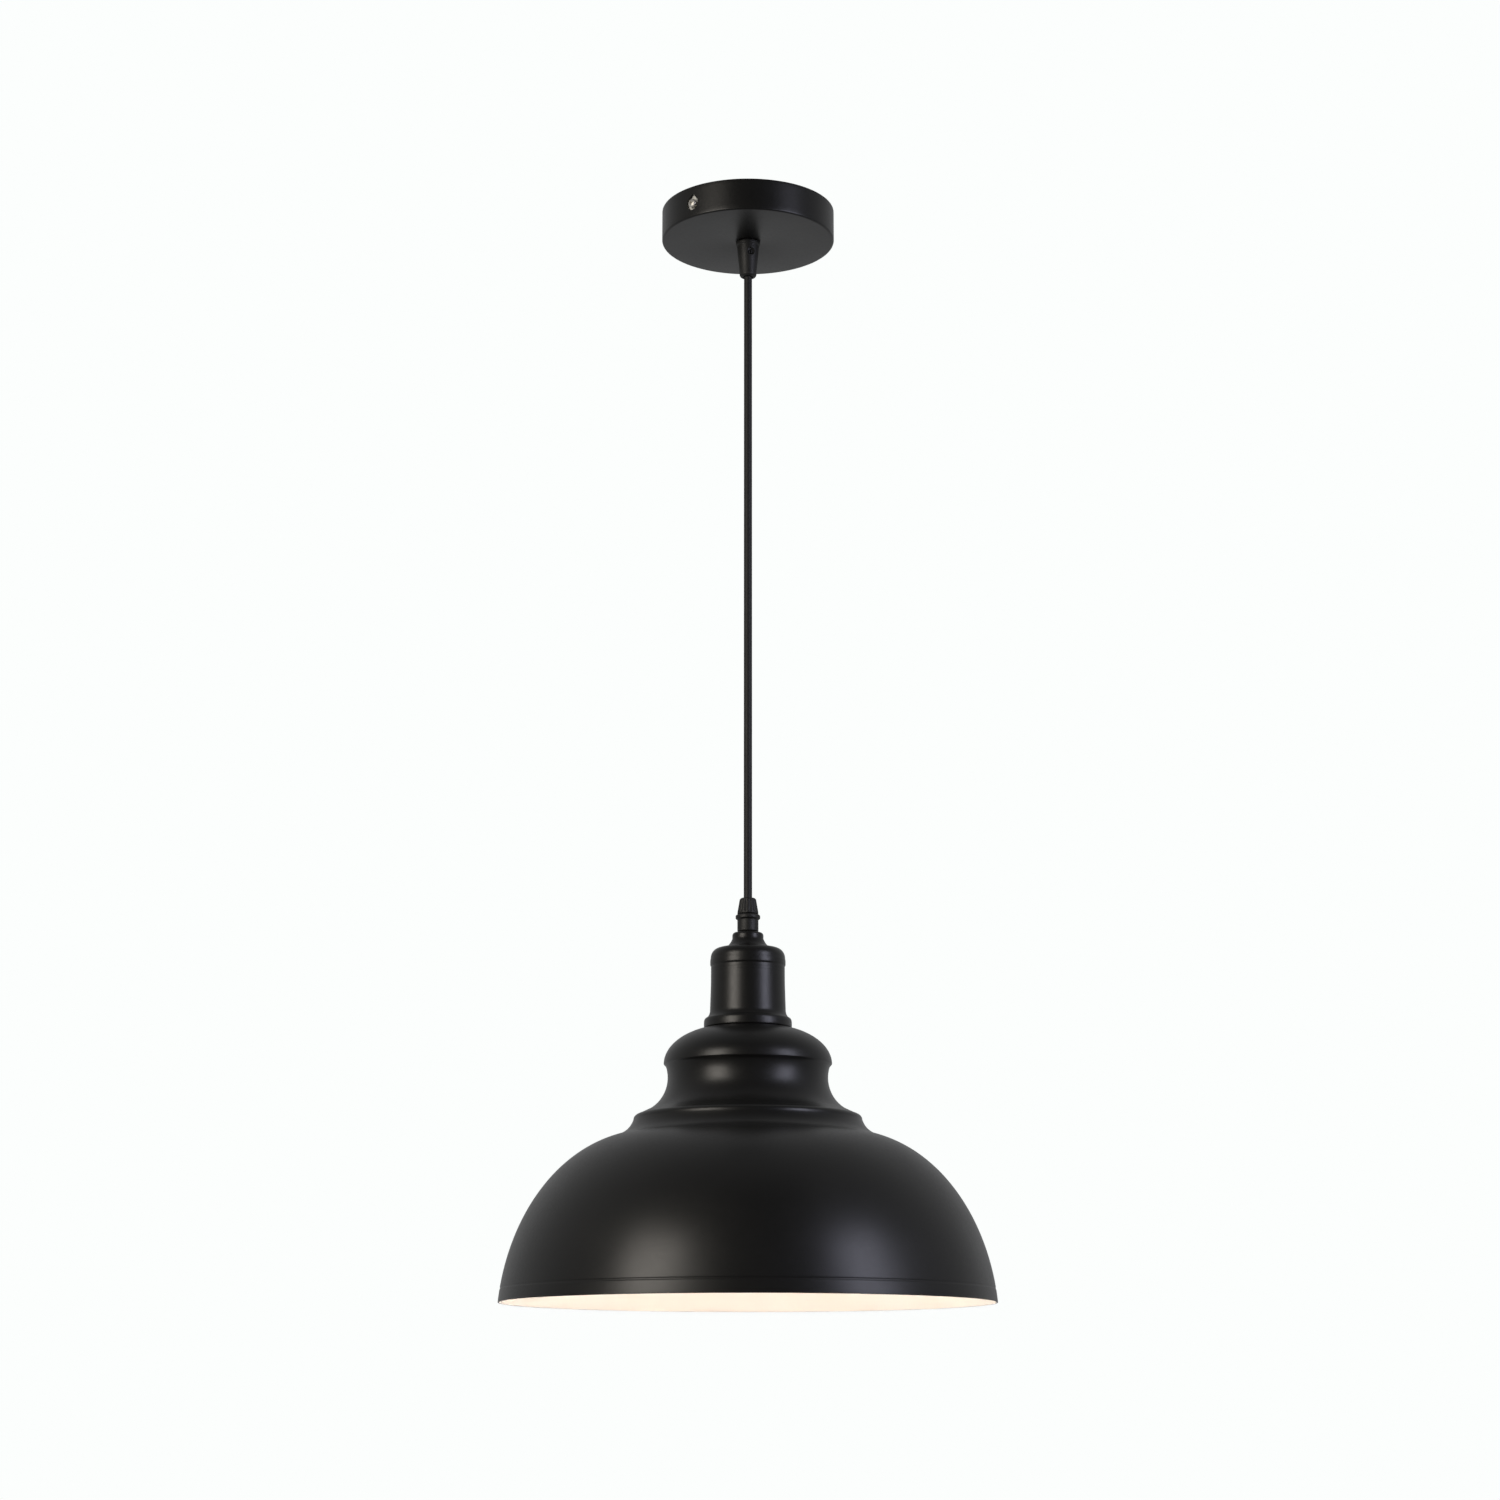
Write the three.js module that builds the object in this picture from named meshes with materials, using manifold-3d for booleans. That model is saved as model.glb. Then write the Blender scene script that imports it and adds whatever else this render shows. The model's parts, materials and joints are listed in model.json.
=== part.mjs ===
// Pendant ceiling light: ceiling cup on a side-screwed bracket, a round flex,
// and a spun steel shade held on an E27 lampholder by a screw ring.
// Millimetres, +Z up. The origin is on the ceiling, at the middle of the bracket's top face.

import * as THREE from "three";
import { mergeVertices } from "three/addons/utils/BufferGeometryUtils.js";
import Module from "manifold-3d";

const wasm = await Module();
wasm.setup();

// ---------------------------------------------------------------- driving dimensions

const CLEARANCE = 0.3;            // between pieces that touch or nearly touch
const RUNNING = 0.4;              // between threads and pieces that turn in each other

const CUP = { radius: 54, depth: 20.3, wall: 0.8, edge: 1.2, segments: 36 };
const EYE = { radius: 4.3, point: 6.4, drop: 11.3, steps: 12, reach: 8 };  // drop-shaped, point up
const STRAP = { width: 18, thickness: 1.5, bearing: -129.6 };
const EAR = { width: 13, thickness: 1.5, drop: 16.5 };
const CEILING_SLOT = { width: 5, length: 12, from: 34 };
const SIDE_SCREW = { shank: 1.45, length: 9, head: 2.8, headHeight: 2.1, dome: 1.3,
  recess: 0.9, slot: 0.7 };
const SLOT = { width: 0.5, depth: 0.6 };                 // across the flat-headed screws

const CORD = { radius: 2.5, length: 394.8, sides: 8 };  // between its two bending points
const SWING = 35;                 // degrees the cord may leave the vertical at the ceiling
const TILT = 30;                  // degrees the lamp head may tilt on the cord

const GRIP = { length: 22.9, flange: 7.6, flangeHeight: 1.5, chamfer: 0.9, top: 6.9, low: 5.3,
  nose: 1.9, tip: 3.9 };
const CLAMP_SCREW = { radius: 1.3, drop: 7.6, bearing: -72.4, sunk: 0.7 };
const THREAD_TUBE = { radius: 4.8, above: 6, below: 27 };  // M10 tube of both cord fittings
const NUT = { flats: 14, height: 3 };

const BLOCK = { length: 16, width: 22, height: 10.5, from: 12, pole: 6, bore: 4.4, screwSeat: 7 };
const SLEEVE = { radius: 2.2, bore: 1.4, length: 12 };
const TERMINAL_SCREW = { radius: 1.4, height: 3.2, spacing: 8 };
const BLOCK_SCREW = { shank: 1.2, head: 2.4, headHeight: 1.6 };
const CORE_WIRE = { radius: 1, circle: 1.35, sides: 6 };
const EARTH_SCREW = { shank: 1.7, head: 3.2, headHeight: 2.2, from: 16 };
const EARTH_RING = { radius: 3.6, thickness: 0.8, neck: 2.6, barrel: 4.5, barrelHeight: 2.4, reach: 9 };

const GLAND = { nutLength: 9.6, nutTip: 4.1, nutEdge: 0.9, nutTop: 4.95, nutFoot: 6.3, nutNose: 3.2,
  flutes: 14, flute: 0.28, thread: 4.5 };
const GLAND_BODY = { flange: 7.35, flangeHeight: 3.3, bevel: 0.8, radius: 6.3, length: 7.4 };
const SEAL_HEIGHT = 2;
const EARTH_TAG = { radius: 8, thickness: 0.8, reach: 11.5, width: 4 };

const HOLDER_RADIUS = 20;
const HOLDER = { radius: HOLDER_RADIUS, wall: 2.1, collar: 8, collarHeight: 7.5, skirt: 9, bodyHeight: 37,
  flange: HOLDER_RADIUS + 4, flangeHeight: 3, bore: HOLDER_RADIUS - 4, lip: HOLDER_RADIUS - 5.4,
  lipHeight: 2, threadDepth: 0.5, pitch: 2.5, threadStart: 1, threadEnd: 1.5 };

// The neck cap closes over the holder and laps a little below the top of the shade's crown.
const NECK = { height: 56.9, wall: 0.9, segments: 30, lap: 0.8,
  collar: 9.3, collarEdge: 1.9, collarHeight: 3.8, collarFlare: 2.2, flat: 16.5, shoulderDrop: 9.6,
  shoulder: HOLDER.radius + 2.2, cornerWidth: 5.1, cornerHeight: 6,
  bead: HOLDER.radius + 2.45, beadFrom: 1.4, beadTo: 4.2,
  waist: HOLDER.radius + 2, waistFrom: 5.6, waistTo: 15, skirt: HOLDER.radius + 2.5,
  foot: HOLDER.radius + 6.1, footEdge: 1.2,
  coveWidth: 4, coveHeight: 4.6, coveAboveFoot: 10.2, coveInside: 1.8 };

const CORE = { height: 9, wireHole: 1.5, wireCircle: 9 };    // three holes, evenly round
const SHELL = { radius: 13.9, wall: 0.5, length: 25 };
const CONTACT = { radius: 4, height: 1.2 };
const RING = { radius: HOLDER.radius + 8, height: 8, edge: 1, notches: 20, notch: 0.7, notchFrom: 2 };

const SHADE = { height: 161.5, rim: 145, wall: 0.8, segments: 36,
  crown: 49.6, crownCentre: 12.9, crownDepth: 21.5,
  waist: 47.4, waistRadius: 21.81, waistDrop: 31.1, waistLead: 1.5,
  ledge: 67.5, ledgeFillet: 2.74, ledgeDrop: 52.4, skirt: 70.8, skirtDrop: 60.6,
  domeFoot: 71.4, domeCentre: 60.64, domeHeight: 112.8, domeCentreBelowRim: 14.7 };

const BULB = { cap: 13, capThread: 0.7, capPitch: 3.6, capWall: 0.8, capLength: 22.5,
  globe: 30, shoulder: 40, neck: 13, neckLength: 6, length: 106,
  insulator: 9.5, insulatorHeight: 3, insulatorTop: 4.2, tip: 3.6, tipHeight: 1.2, tipEdge: 0.8 };

// ---------------------------------------------------------------- heights, from the ceiling down

const strapBottom = -STRAP.thickness;
const cupFloor = -CUP.depth + CUP.wall;                   // inside face of the cup's floor
const upperTubeTop = cupFloor + THREAD_TUBE.above;
const gripTop = -CUP.depth - CLEARANCE;
const swingZ = gripTop - GRIP.length;                     // where the flex leaves the ceiling cup
const tiltZ = swingZ - CORD.length;                       // where the flex enters the lamp head
const glandTop = tiltZ - GLAND.nutLength - CLEARANCE;
const glandBottom = glandTop - GLAND_BODY.flangeHeight - GLAND_BODY.length;
const lowerTubeBottom = glandBottom - THREAD_TUBE.below;
const neckTop = glandBottom - CLEARANCE;
const shoulderZ = neckTop - NECK.shoulderDrop;
const neckBottom = neckTop - NECK.height;
const shadeTop = neckBottom + NECK.lap;
const rimZ = shadeTop - SHADE.height;
const holderTop = shoulderZ - NECK.wall - CLEARANCE;
const domeTop = holderTop - HOLDER.collarHeight;
const domeRise = HOLDER.radius - HOLDER.collar;
const skirtTop = domeTop - domeRise;
const domeBottom = skirtTop - HOLDER.skirt;
const bodyTop = domeBottom - CLEARANCE;
const bodyBottom = bodyTop - HOLDER.bodyHeight;
const coreBottom = bodyTop - CORE.height;
const shellTop = coreBottom - CLEARANCE;
const bulbTop = shellTop - CONTACT.height - CLEARANCE;
const insulatorTop = bulbTop - BULB.tipHeight - CLEARANCE;
const capTop = insulatorTop - BULB.insulatorHeight - CLEARANCE;
const capBottom = capTop - BULB.capLength;

const cordBore = CORD.radius + CLEARANCE;
const tubeHole = THREAD_TUBE.radius + CLEARANCE;
const shadeHole = HOLDER.radius + RUNNING + CLEARANCE;    // the holder's thread passes through it
const crownZ = (r) => shadeTop - SHADE.crownDepth
  + SHADE.crownDepth * Math.sqrt(1 - ((r - SHADE.crownCentre) / (SHADE.crown - SHADE.crownCentre)) ** 2);
const flangeBottom = crownZ(shadeHole) + CLEARANCE;

// ---------------------------------------------------------------- finishes

const finish = (color, roughness, metalness = 0) =>
  new THREE.MeshStandardMaterial({ color, roughness, metalness });
const FINISH = {
  blackPaint: finish(0x242423, 0.42),
  blackPlastic: finish(0x1c1c1b, 0.5),
  blackFlex: finish(0x1a1a1a, 0.55),
  zinc: finish(0xb9b6ae, 0.35, 1),
  nickel: finish(0xc9c5bc, 0.25, 1),
  brass: finish(0xb8923f, 0.3, 1),
  bakelite: finish(0x181614, 0.35),
  ceramic: finish(0xe8e3d6, 0.45),
  blockPlastic: finish(0xe9e7e0, 0.5),
  liveBrown: finish(0x6b3a1e, 0.5),
  neutralBlue: finish(0x2f5f9e, 0.5),
  earthGreen: finish(0x5f8f2c, 0.5),
  rubber: finish(0x20201f, 0.7),
  aluminium: finish(0xc4c6c8, 0.35, 1),
  opalPlastic: finish(0xfbf4e4, 0.25),
  blackGlass: finish(0x15131a, 0.2),
};

// ---------------------------------------------------------------- geometry helpers

const radians = THREE.MathUtils.degToRad;
const degrees = THREE.MathUtils.radToDeg;

/** Merge shared vertices, drop flat triangles and turn the faces outward. */
function closed(geometry) {
  geometry.deleteAttribute("normal");
  geometry.deleteAttribute("uv");
  const merged = mergeVertices(geometry, 1e-4);
  const at = merged.getAttribute("position");
  const corner = (i) => new THREE.Vector3().fromBufferAttribute(at, i);
  const index = [];
  let volume = 0;
  for (let i = 0; i < merged.index.count; i += 3) {
    const [a, b, c] = [0, 1, 2].map((k) => merged.index.getX(i + k));
    if (a === b || b === c || a === c) continue;
    index.push(a, b, c);
    volume += corner(a).dot(corner(b).cross(corner(c)));
  }
  merged.setIndex(volume < 0 ? index.reverse() : index);
  return merged;
}

/** A closed geometry as a solid that can be cut and joined. */
function solid(geometry) {
  const shape = geometry.index && !geometry.getAttribute("uv") ? geometry : closed(geometry);
  return new wasm.Manifold(new wasm.Mesh({
    numProp: 3,
    vertProperties: Float32Array.from(shape.getAttribute("position").array),
    triVerts: Uint32Array.from(shape.index.array),
  }));
}

/** A solid back as a geometry. */
function geometryOf(body) {
  const mesh = body.getMesh();
  const geometry = new THREE.BufferGeometry();
  geometry.setAttribute("position", new THREE.BufferAttribute(mesh.vertProperties, 3));
  geometry.setIndex(new THREE.BufferAttribute(mesh.triVerts, 1));
  return geometry;
}

const cut = (geometry, ...tools) =>
  geometryOf(tools.reduce((body, tool) => body.subtract(solid(tool)), solid(geometry)));
const join = (geometry, ...others) =>
  geometryOf(others.reduce((body, other) => body.add(solid(other)), solid(geometry)));

/** Revolve [radius, z] points about Z. A profile off the axis closes on itself. */
function turned(profile, segments = 24) {
  const onAxis = profile[0][0] === 0;
  const points = (onAxis ? profile : [...profile, profile[0]]).map(([r, z]) => new THREE.Vector2(r, z));
  return closed(new THREE.LatheGeometry(points, segments).rotateX(Math.PI / 2));
}

/** A plain disc, rod or washer between two heights. */
function washer(outer, inner, top, bottom, segments = 18) {
  const profile = inner > 0
    ? [[inner, top], [outer, top], [outer, bottom], [inner, bottom]]
    : [[0, top], [outer, top], [outer, bottom], [0, bottom]];
  return turned(profile, segments);
}

/** Points on an ellipse arc, in degrees anticlockwise from +radius. */
function arc(centreR, centreZ, halfR, halfZ, from, to, steps) {
  return Array.from({ length: steps + 1 }, (_, i) => {
    const t = radians(from + ((to - from) * i) / steps);
    return [centreR + halfR * Math.cos(t), centreZ + halfZ * Math.sin(t)];
  });
}

/** Move an outline sideways by a wall thickness, towards its right-hand side. */
function offset(points, wall) {
  return points.map(([r, z], i) => {
    const [r0, z0] = points[Math.max(i - 1, 0)];
    const [r1, z1] = points[Math.min(i + 1, points.length - 1)];
    const length = Math.hypot(r1 - r0, z1 - z0);
    return [r + ((z1 - z0) / length) * wall, z - ((r1 - r0) / length) * wall];
  });
}

function block(x, y, z, centreX, centreY, centreZ) {
  return closed(new THREE.BoxGeometry(x, y, z).translate(centreX, centreY, centreZ));
}

/** A hexagonal nut with a round hole. */
function hexNut(flats, hole, top, height) {
  const corner = flats / Math.sqrt(3);
  const shape = new THREE.Shape(Array.from({ length: 6 }, (_, i) =>
    new THREE.Vector2(corner * Math.cos(radians(60 * i)), corner * Math.sin(radians(60 * i)))));
  shape.holes.push(new THREE.Path().absarc(0, 0, hole, 0, 2 * Math.PI, true));
  const geometry = new THREE.ExtrudeGeometry(shape,
    { depth: height, bevelEnabled: false, curveSegments: 9 });
  return closed(geometry.translate(0, 0, top - height));
}

/** A round tube along a smooth curve through the given points. */
function tube(points, radius, sides, steps) {
  const section = new THREE.Shape(Array.from({ length: sides }, (_, i) => {
    const t = (2 * Math.PI * i) / sides;
    return new THREE.Vector2(radius * Math.cos(t), radius * Math.sin(t));
  }));
  const route = new THREE.CatmullRomCurve3(points.map((p) => new THREE.Vector3(...p)));
  return closed(new THREE.ExtrudeGeometry(section, { steps, extrudePath: route, bevelEnabled: false }));
}

/** Lay a piece made upright along Z on its side, pointing outward along +X. */
const sideways = (geometry) => geometry.rotateY(Math.PI / 2);

/** A slot across a flat head, as a tool that cuts it. */
const slotTool = (radius, top) => block(3 * radius, SLOT.width, 2 * SLOT.depth, 0, 0, top);

const named = (name, geometry, material) => {
  const mesh = new THREE.Mesh(geometry, material);
  mesh.name = name;
  return mesh;
};

// ---------------------------------------------------------------- ceiling fitting
// Made with the strap along X, then turned to the strap's bearing on the ceiling.

const eyeZ = -EYE.drop;
const earOuter = CUP.radius - CUP.wall - 4 * CLEARANCE;
const blockX = -BLOCK.from - BLOCK.length / 2;
const blockTop = strapBottom - CLEARANCE;
const sleeveZ = blockTop - BLOCK.bore;
const screwSeatZ = blockTop - BLOCK.screwSeat;
const POLES = { live: 1, neutral: -1 };
const ENDS = { inner: 1, outer: -1 };
const ringTop = strapBottom - CLEARANCE;
const ringBottom = ringTop - EARTH_RING.thickness;
const upperWireStart = upperTubeTop + 3 * CLEARANCE;

/** The drop-shaped opening, as a tool lying across the cup's wall on the +X side. */
function eyeTool() {
  const tangent = degrees(Math.acos(EYE.radius / EYE.point));
  const round = arc(0, 0, EYE.radius, EYE.radius, 90 + tangent, 450 - tangent, EYE.steps);
  const shape = new THREE.Shape([...round, [0, EYE.point]].map(([x, y]) => new THREE.Vector2(x, y)));
  const geometry = new THREE.ExtrudeGeometry(shape, { depth: EYE.reach, bevelEnabled: false });
  return closed(geometry.rotateX(Math.PI / 2).rotateZ(Math.PI / 2)
    .translate(CUP.radius - EYE.reach / 2, 0, eyeZ));
}

function ceilingCup() {
  const floor = -CUP.depth;
  const bend = [CUP.radius - CUP.edge, floor + CUP.edge];
  const shell = turned([
    [tubeHole, floor],
    ...arc(...bend, CUP.edge, CUP.edge, -90, 0, 3),
    [CUP.radius, -CLEARANCE],
    [CUP.radius - CUP.wall, -CLEARANCE],
    ...arc(...bend, CUP.edge - CUP.wall, CUP.edge - CUP.wall, 0, -90, 2),
    [tubeHole, cupFloor],
  ], CUP.segments);
  return cut(shell, eyeTool(), eyeTool().rotateZ(Math.PI));
}

function ceilingBracket() {
  const strap = block(2 * earOuter, STRAP.width, STRAP.thickness, 0, 0, strapBottom / 2);
  const ear = (side) => block(EAR.thickness, EAR.width, EAR.drop,
    side * (earOuter - EAR.thickness / 2), 0, -EAR.drop / 2);
  const earHoles = sideways(washer(SIDE_SCREW.shank + CLEARANCE, 0, CUP.radius, -CUP.radius, 14))
    .translate(0, 0, eyeZ);
  const slot = (side) => block(CEILING_SLOT.length, CEILING_SLOT.width, 3 * STRAP.thickness,
    side * (CEILING_SLOT.from + CEILING_SLOT.length / 2), 0, strapBottom / 2);
  const hole = (shank, x) => washer(shank + CLEARANCE, 0, STRAP.thickness, -2 * STRAP.thickness, 12)
    .translate(x, 0, 0);
  return cut(join(strap, ear(1), ear(-1)), earHoles, slot(1), slot(-1),
    hole(EARTH_SCREW.shank, EARTH_SCREW.from), hole(BLOCK_SCREW.shank, blockX));
}

/** A pan-head screw with a cross recess, lying along X with its head outward. */
function sideScrew() {
  const seat = CUP.radius - CUP.wall;
  const crown = seat + SIDE_SCREW.headHeight;
  const rod = turned([
    [0, seat - SIDE_SCREW.length],
    [SIDE_SCREW.shank, seat - SIDE_SCREW.length],
    [SIDE_SCREW.shank, seat],
    [SIDE_SCREW.head, seat],
    ...arc(0, crown - SIDE_SCREW.dome, SIDE_SCREW.head, SIDE_SCREW.dome, 0, 70, 2),
    [0, crown],
  ], 16);
  const arm = () => block(SIDE_SCREW.head, SIDE_SCREW.slot, 2 * SIDE_SCREW.recess, 0, 0, crown);
  const cross = [arm(), arm().rotateZ(Math.PI / 2)];
  return sideways(cut(rod, ...cross)).translate(0, 0, eyeZ);
}

function terminalBlock() {
  const body = block(BLOCK.length, BLOCK.width, BLOCK.height, blockX, 0, blockTop - BLOCK.height / 2);
  const below = blockTop - 2 * BLOCK.height;
  const poleTools = Object.values(POLES).flatMap((side) => [
    sideways(washer(SLEEVE.radius + CLEARANCE, 0, BLOCK.length, -BLOCK.length, 12))
      .translate(blockX, side * BLOCK.pole, sleeveZ),
    ...Object.values(ENDS).map((end) => washer(TERMINAL_SCREW.radius + CLEARANCE, 0, sleeveZ, below, 12)
      .translate(blockX + (end * TERMINAL_SCREW.spacing) / 2, side * BLOCK.pole, 0)),
  ]);
  const fixing = washer(BLOCK_SCREW.shank + CLEARANCE, 0, 0, below, 12).translate(blockX, 0, 0);
  const pocket = washer(BLOCK_SCREW.head + CLEARANCE, 0, screwSeatZ, below, 12).translate(blockX, 0, 0);
  return cut(body, ...poleTools, fixing, pocket);
}

const terminalSleeve = (side) => sideways(
  washer(SLEEVE.radius, SLEEVE.bore, SLEEVE.length / 2, -SLEEVE.length / 2, 12))
  .translate(blockX, side * BLOCK.pole, sleeveZ);

function terminalScrew(side, end) {
  const top = sleeveZ - SLEEVE.radius - CLEARANCE;
  const bottom = top - TERMINAL_SCREW.height;
  const rod = cut(washer(TERMINAL_SCREW.radius, 0, top, bottom, 10),
    slotTool(TERMINAL_SCREW.radius, bottom));
  return rod.translate(blockX + (end * TERMINAL_SCREW.spacing) / 2, side * BLOCK.pole, 0);
}

/** A slotted screw that stands under the strap with its head down. */
function hangingScrew(shank, head, headHeight, headTop, x) {
  const bottom = headTop - headHeight;
  const rod = turned([[0, -CLEARANCE], [shank, -CLEARANCE], [shank, headTop], [head, headTop],
    [head, bottom], [0, bottom]], 14);
  return cut(rod, slotTool(head, bottom)).translate(x, 0, 0);
}

const blockScrew = () => hangingScrew(BLOCK_SCREW.shank, BLOCK_SCREW.head, BLOCK_SCREW.headHeight,
  screwSeatZ - CLEARANCE, blockX);
const earthScrew = () => hangingScrew(EARTH_SCREW.shank, EARTH_SCREW.head, EARTH_SCREW.headHeight,
  ringBottom - CLEARANCE, EARTH_SCREW.from);

/** A crimped ring terminal: the eye under the earth screw, the barrel towards the middle. */
function upperEarthRing() {
  const eye = washer(EARTH_RING.radius, EARTH_SCREW.shank + CLEARANCE, ringTop, ringBottom)
    .translate(EARTH_SCREW.from, 0, 0);
  const rim = (EARTH_SCREW.shank + EARTH_RING.radius) / 2;    // inside the eye's own width
  const neck = block(EARTH_RING.reach - rim, EARTH_RING.neck, EARTH_RING.thickness,
    EARTH_SCREW.from - (EARTH_RING.reach + rim) / 2, 0, ringTop - EARTH_RING.thickness / 2);
  const barrel = block(EARTH_RING.barrel, EARTH_RING.neck, EARTH_RING.barrelHeight,
    EARTH_SCREW.from - EARTH_RING.reach + EARTH_RING.barrel / 2, 0, ringTop - EARTH_RING.barrelHeight / 2);
  return join(eye, neck, barrel);
}

/** Where a core leaves the flex's sheath: three of them, evenly round the axis. */
const coreStart = (bearing) => [
  CORE_WIRE.circle * Math.cos(radians(bearing)),
  CORE_WIRE.circle * Math.sin(radians(bearing)),
];

/** Up out of the sheath, over in an easy bend, and level into the sleeve's end. */
function upperPoleWire(side) {
  const [x, y] = coreStart(side * 120);
  const end = blockX + SLEEVE.length / 2 + CLEARANCE;
  const bend = CORE_WIRE.radius * 2.2;
  const level = CORE_WIRE.radius * 6;
  const drop = CORE_WIRE.radius * 0.6;
  return tube([
    [x, y, upperWireStart],
    [x, y, upperWireStart + CORE_WIRE.radius * 1.6],
    [x - bend, y + side * CORE_WIRE.radius * 1.6, sleeveZ - drop],
    [x - level, side * BLOCK.pole * 0.88, sleeveZ],
    [end, side * BLOCK.pole, sleeveZ],
  ], CORE_WIRE.radius, CORE_WIRE.sides, 10);
}

function upperEarthWire() {
  const [x, y] = coreStart(0);
  const barrelZ = ringTop - EARTH_RING.barrelHeight / 2;
  const { radius } = CORE_WIRE;
  return tube([
    [x, y, upperWireStart],
    [x, y, upperWireStart + 2.4 * radius],
    [x + radius, y, barrelZ - 3 * radius],
    [x + 3 * radius, y, barrelZ - 0.5 * radius],
    [EARTH_SCREW.from - EARTH_RING.reach - CLEARANCE, y, barrelZ],
  ], radius, CORE_WIRE.sides, 10);
}

// ---------------------------------------------------------------- flex and its fittings

/** Mouth radius and depth of the flare that lets the flex bend by an angle without touching. */
function flare(angle) {
  const mouth = (CORD.radius + CLEARANCE) / Math.cos(radians(angle));
  return { mouth, depth: (mouth - cordBore) / Math.tan(radians(angle)) };
}

/** How far a flat-ended flex reaches back past its bending point when it leans by an angle. */
const kick = (angle) => CORD.radius * Math.sin(radians(angle)) + CLEARANCE;

const clampScrewPlace = (geometry) => sideways(geometry)
  .rotateZ(radians(CLAMP_SCREW.bearing)).translate(0, 0, gripTop - CLAMP_SCREW.drop);

function upperCordGrip() {
  const { mouth, depth } = flare(SWING);
  const body = turned([
    [cordBore, upperTubeTop],
    [THREAD_TUBE.radius, upperTubeTop],
    [THREAD_TUBE.radius, gripTop],
    [GRIP.flange, gripTop],
    [GRIP.flange, gripTop - GRIP.flangeHeight],
    [GRIP.top, gripTop - GRIP.flangeHeight - GRIP.chamfer],
    [GRIP.low, swingZ + GRIP.nose],
    [GRIP.tip, swingZ],
    [mouth, swingZ],
    [cordBore, swingZ + depth],
  ]);
  return cut(body, clampScrewPlace(washer(CLAMP_SCREW.radius + CLEARANCE, 0, 2 * GRIP.flange, 0, 14)));
}

function clampScrew() {
  const face = GRIP.top - CLAMP_SCREW.sunk;
  const rod = washer(CLAMP_SCREW.radius, 0, face, cordBore, 10);
  return clampScrewPlace(cut(rod, slotTool(CLAMP_SCREW.radius, face)));
}

const flexCord = () => tube([
  [0, 0, swingZ],
  [0, 0, swingZ - 0.25 * CORD.length],
  [0, 0, swingZ - 0.5 * CORD.length],
  [0, 0, swingZ - 0.75 * CORD.length],
  [0, 0, tiltZ],
], CORD.radius, CORD.sides, 32);

const upperCordTail = () => washer(CORD.radius, 0,
  upperTubeTop + CLEARANCE, swingZ + kick(SWING), CORD.sides);
const lowerCordTail = () => washer(CORD.radius, 0,
  tiltZ - kick(TILT), lowerTubeBottom - CLEARANCE, CORD.sides);

/** The tapered compression nut, with flutes along its sides. */
function glandNut() {
  const { mouth, depth } = flare(TILT);
  const foot = tiltZ - GLAND.nutLength;
  const nut = turned([
    [mouth, tiltZ],
    [GLAND.nutTip, tiltZ],
    [GLAND.nutTop, tiltZ - GLAND.nutEdge],
    [GLAND.nutFoot, foot],
    [GLAND.thread, foot],
    [GLAND.thread, tiltZ - GLAND.nutNose],
    [cordBore, tiltZ - GLAND.nutNose],
    [cordBore, tiltZ - depth],
  ], 2 * GLAND.flutes);
  return notched(nut, GLAND.flutes, GLAND.flute, GLAND.thread + CLEARANCE);
}

/** Pull every second line of corners in, beyond a radius, to make grip notches. */
function notched(geometry, count, depth, beyond) {
  const at = geometry.getAttribute("position");
  for (let i = 0; i < at.count; i += 1) {
    const radius = Math.hypot(at.getX(i), at.getY(i));
    const line = Math.round((Math.atan2(at.getY(i), at.getX(i)) * count) / Math.PI);
    if (radius <= beyond || line % 2 === 0) continue;
    const scale = (radius - depth) / radius;
    at.setXY(i, at.getX(i) * scale, at.getY(i) * scale);
  }
  return geometry;
}

const sealTop = tiltZ - GLAND.nutNose - CLEARANCE;
const glandSeal = () => washer(GLAND.thread - CLEARANCE, cordBore, sealTop, sealTop - SEAL_HEIGHT);

function glandBody() {
  const throatTop = sealTop - SEAL_HEIGHT - CLEARANCE;
  const throat = GLAND.thread - RUNNING;
  return turned([
    [cordBore, throatTop],
    [throat, throatTop],
    [throat, glandTop],
    [GLAND_BODY.radius, glandTop],
    [GLAND_BODY.flange, glandTop - GLAND_BODY.bevel],
    [GLAND_BODY.flange, glandTop - GLAND_BODY.flangeHeight + GLAND_BODY.bevel],
    [GLAND_BODY.radius, glandTop - GLAND_BODY.flangeHeight],
    [GLAND_BODY.radius, glandBottom],
    [THREAD_TUBE.radius, glandBottom],
    [THREAD_TUBE.radius, lowerTubeBottom],
    [cordBore, lowerTubeBottom],
  ]);
}

// ---------------------------------------------------------------- lamp head

const innerDomeTop = domeTop - HOLDER.wall;
const tagBottom = innerDomeTop - CLEARANCE - EARTH_TAG.thickness;
const lowerWireStart = lowerTubeBottom - 3 * CLEARANCE;

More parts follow.
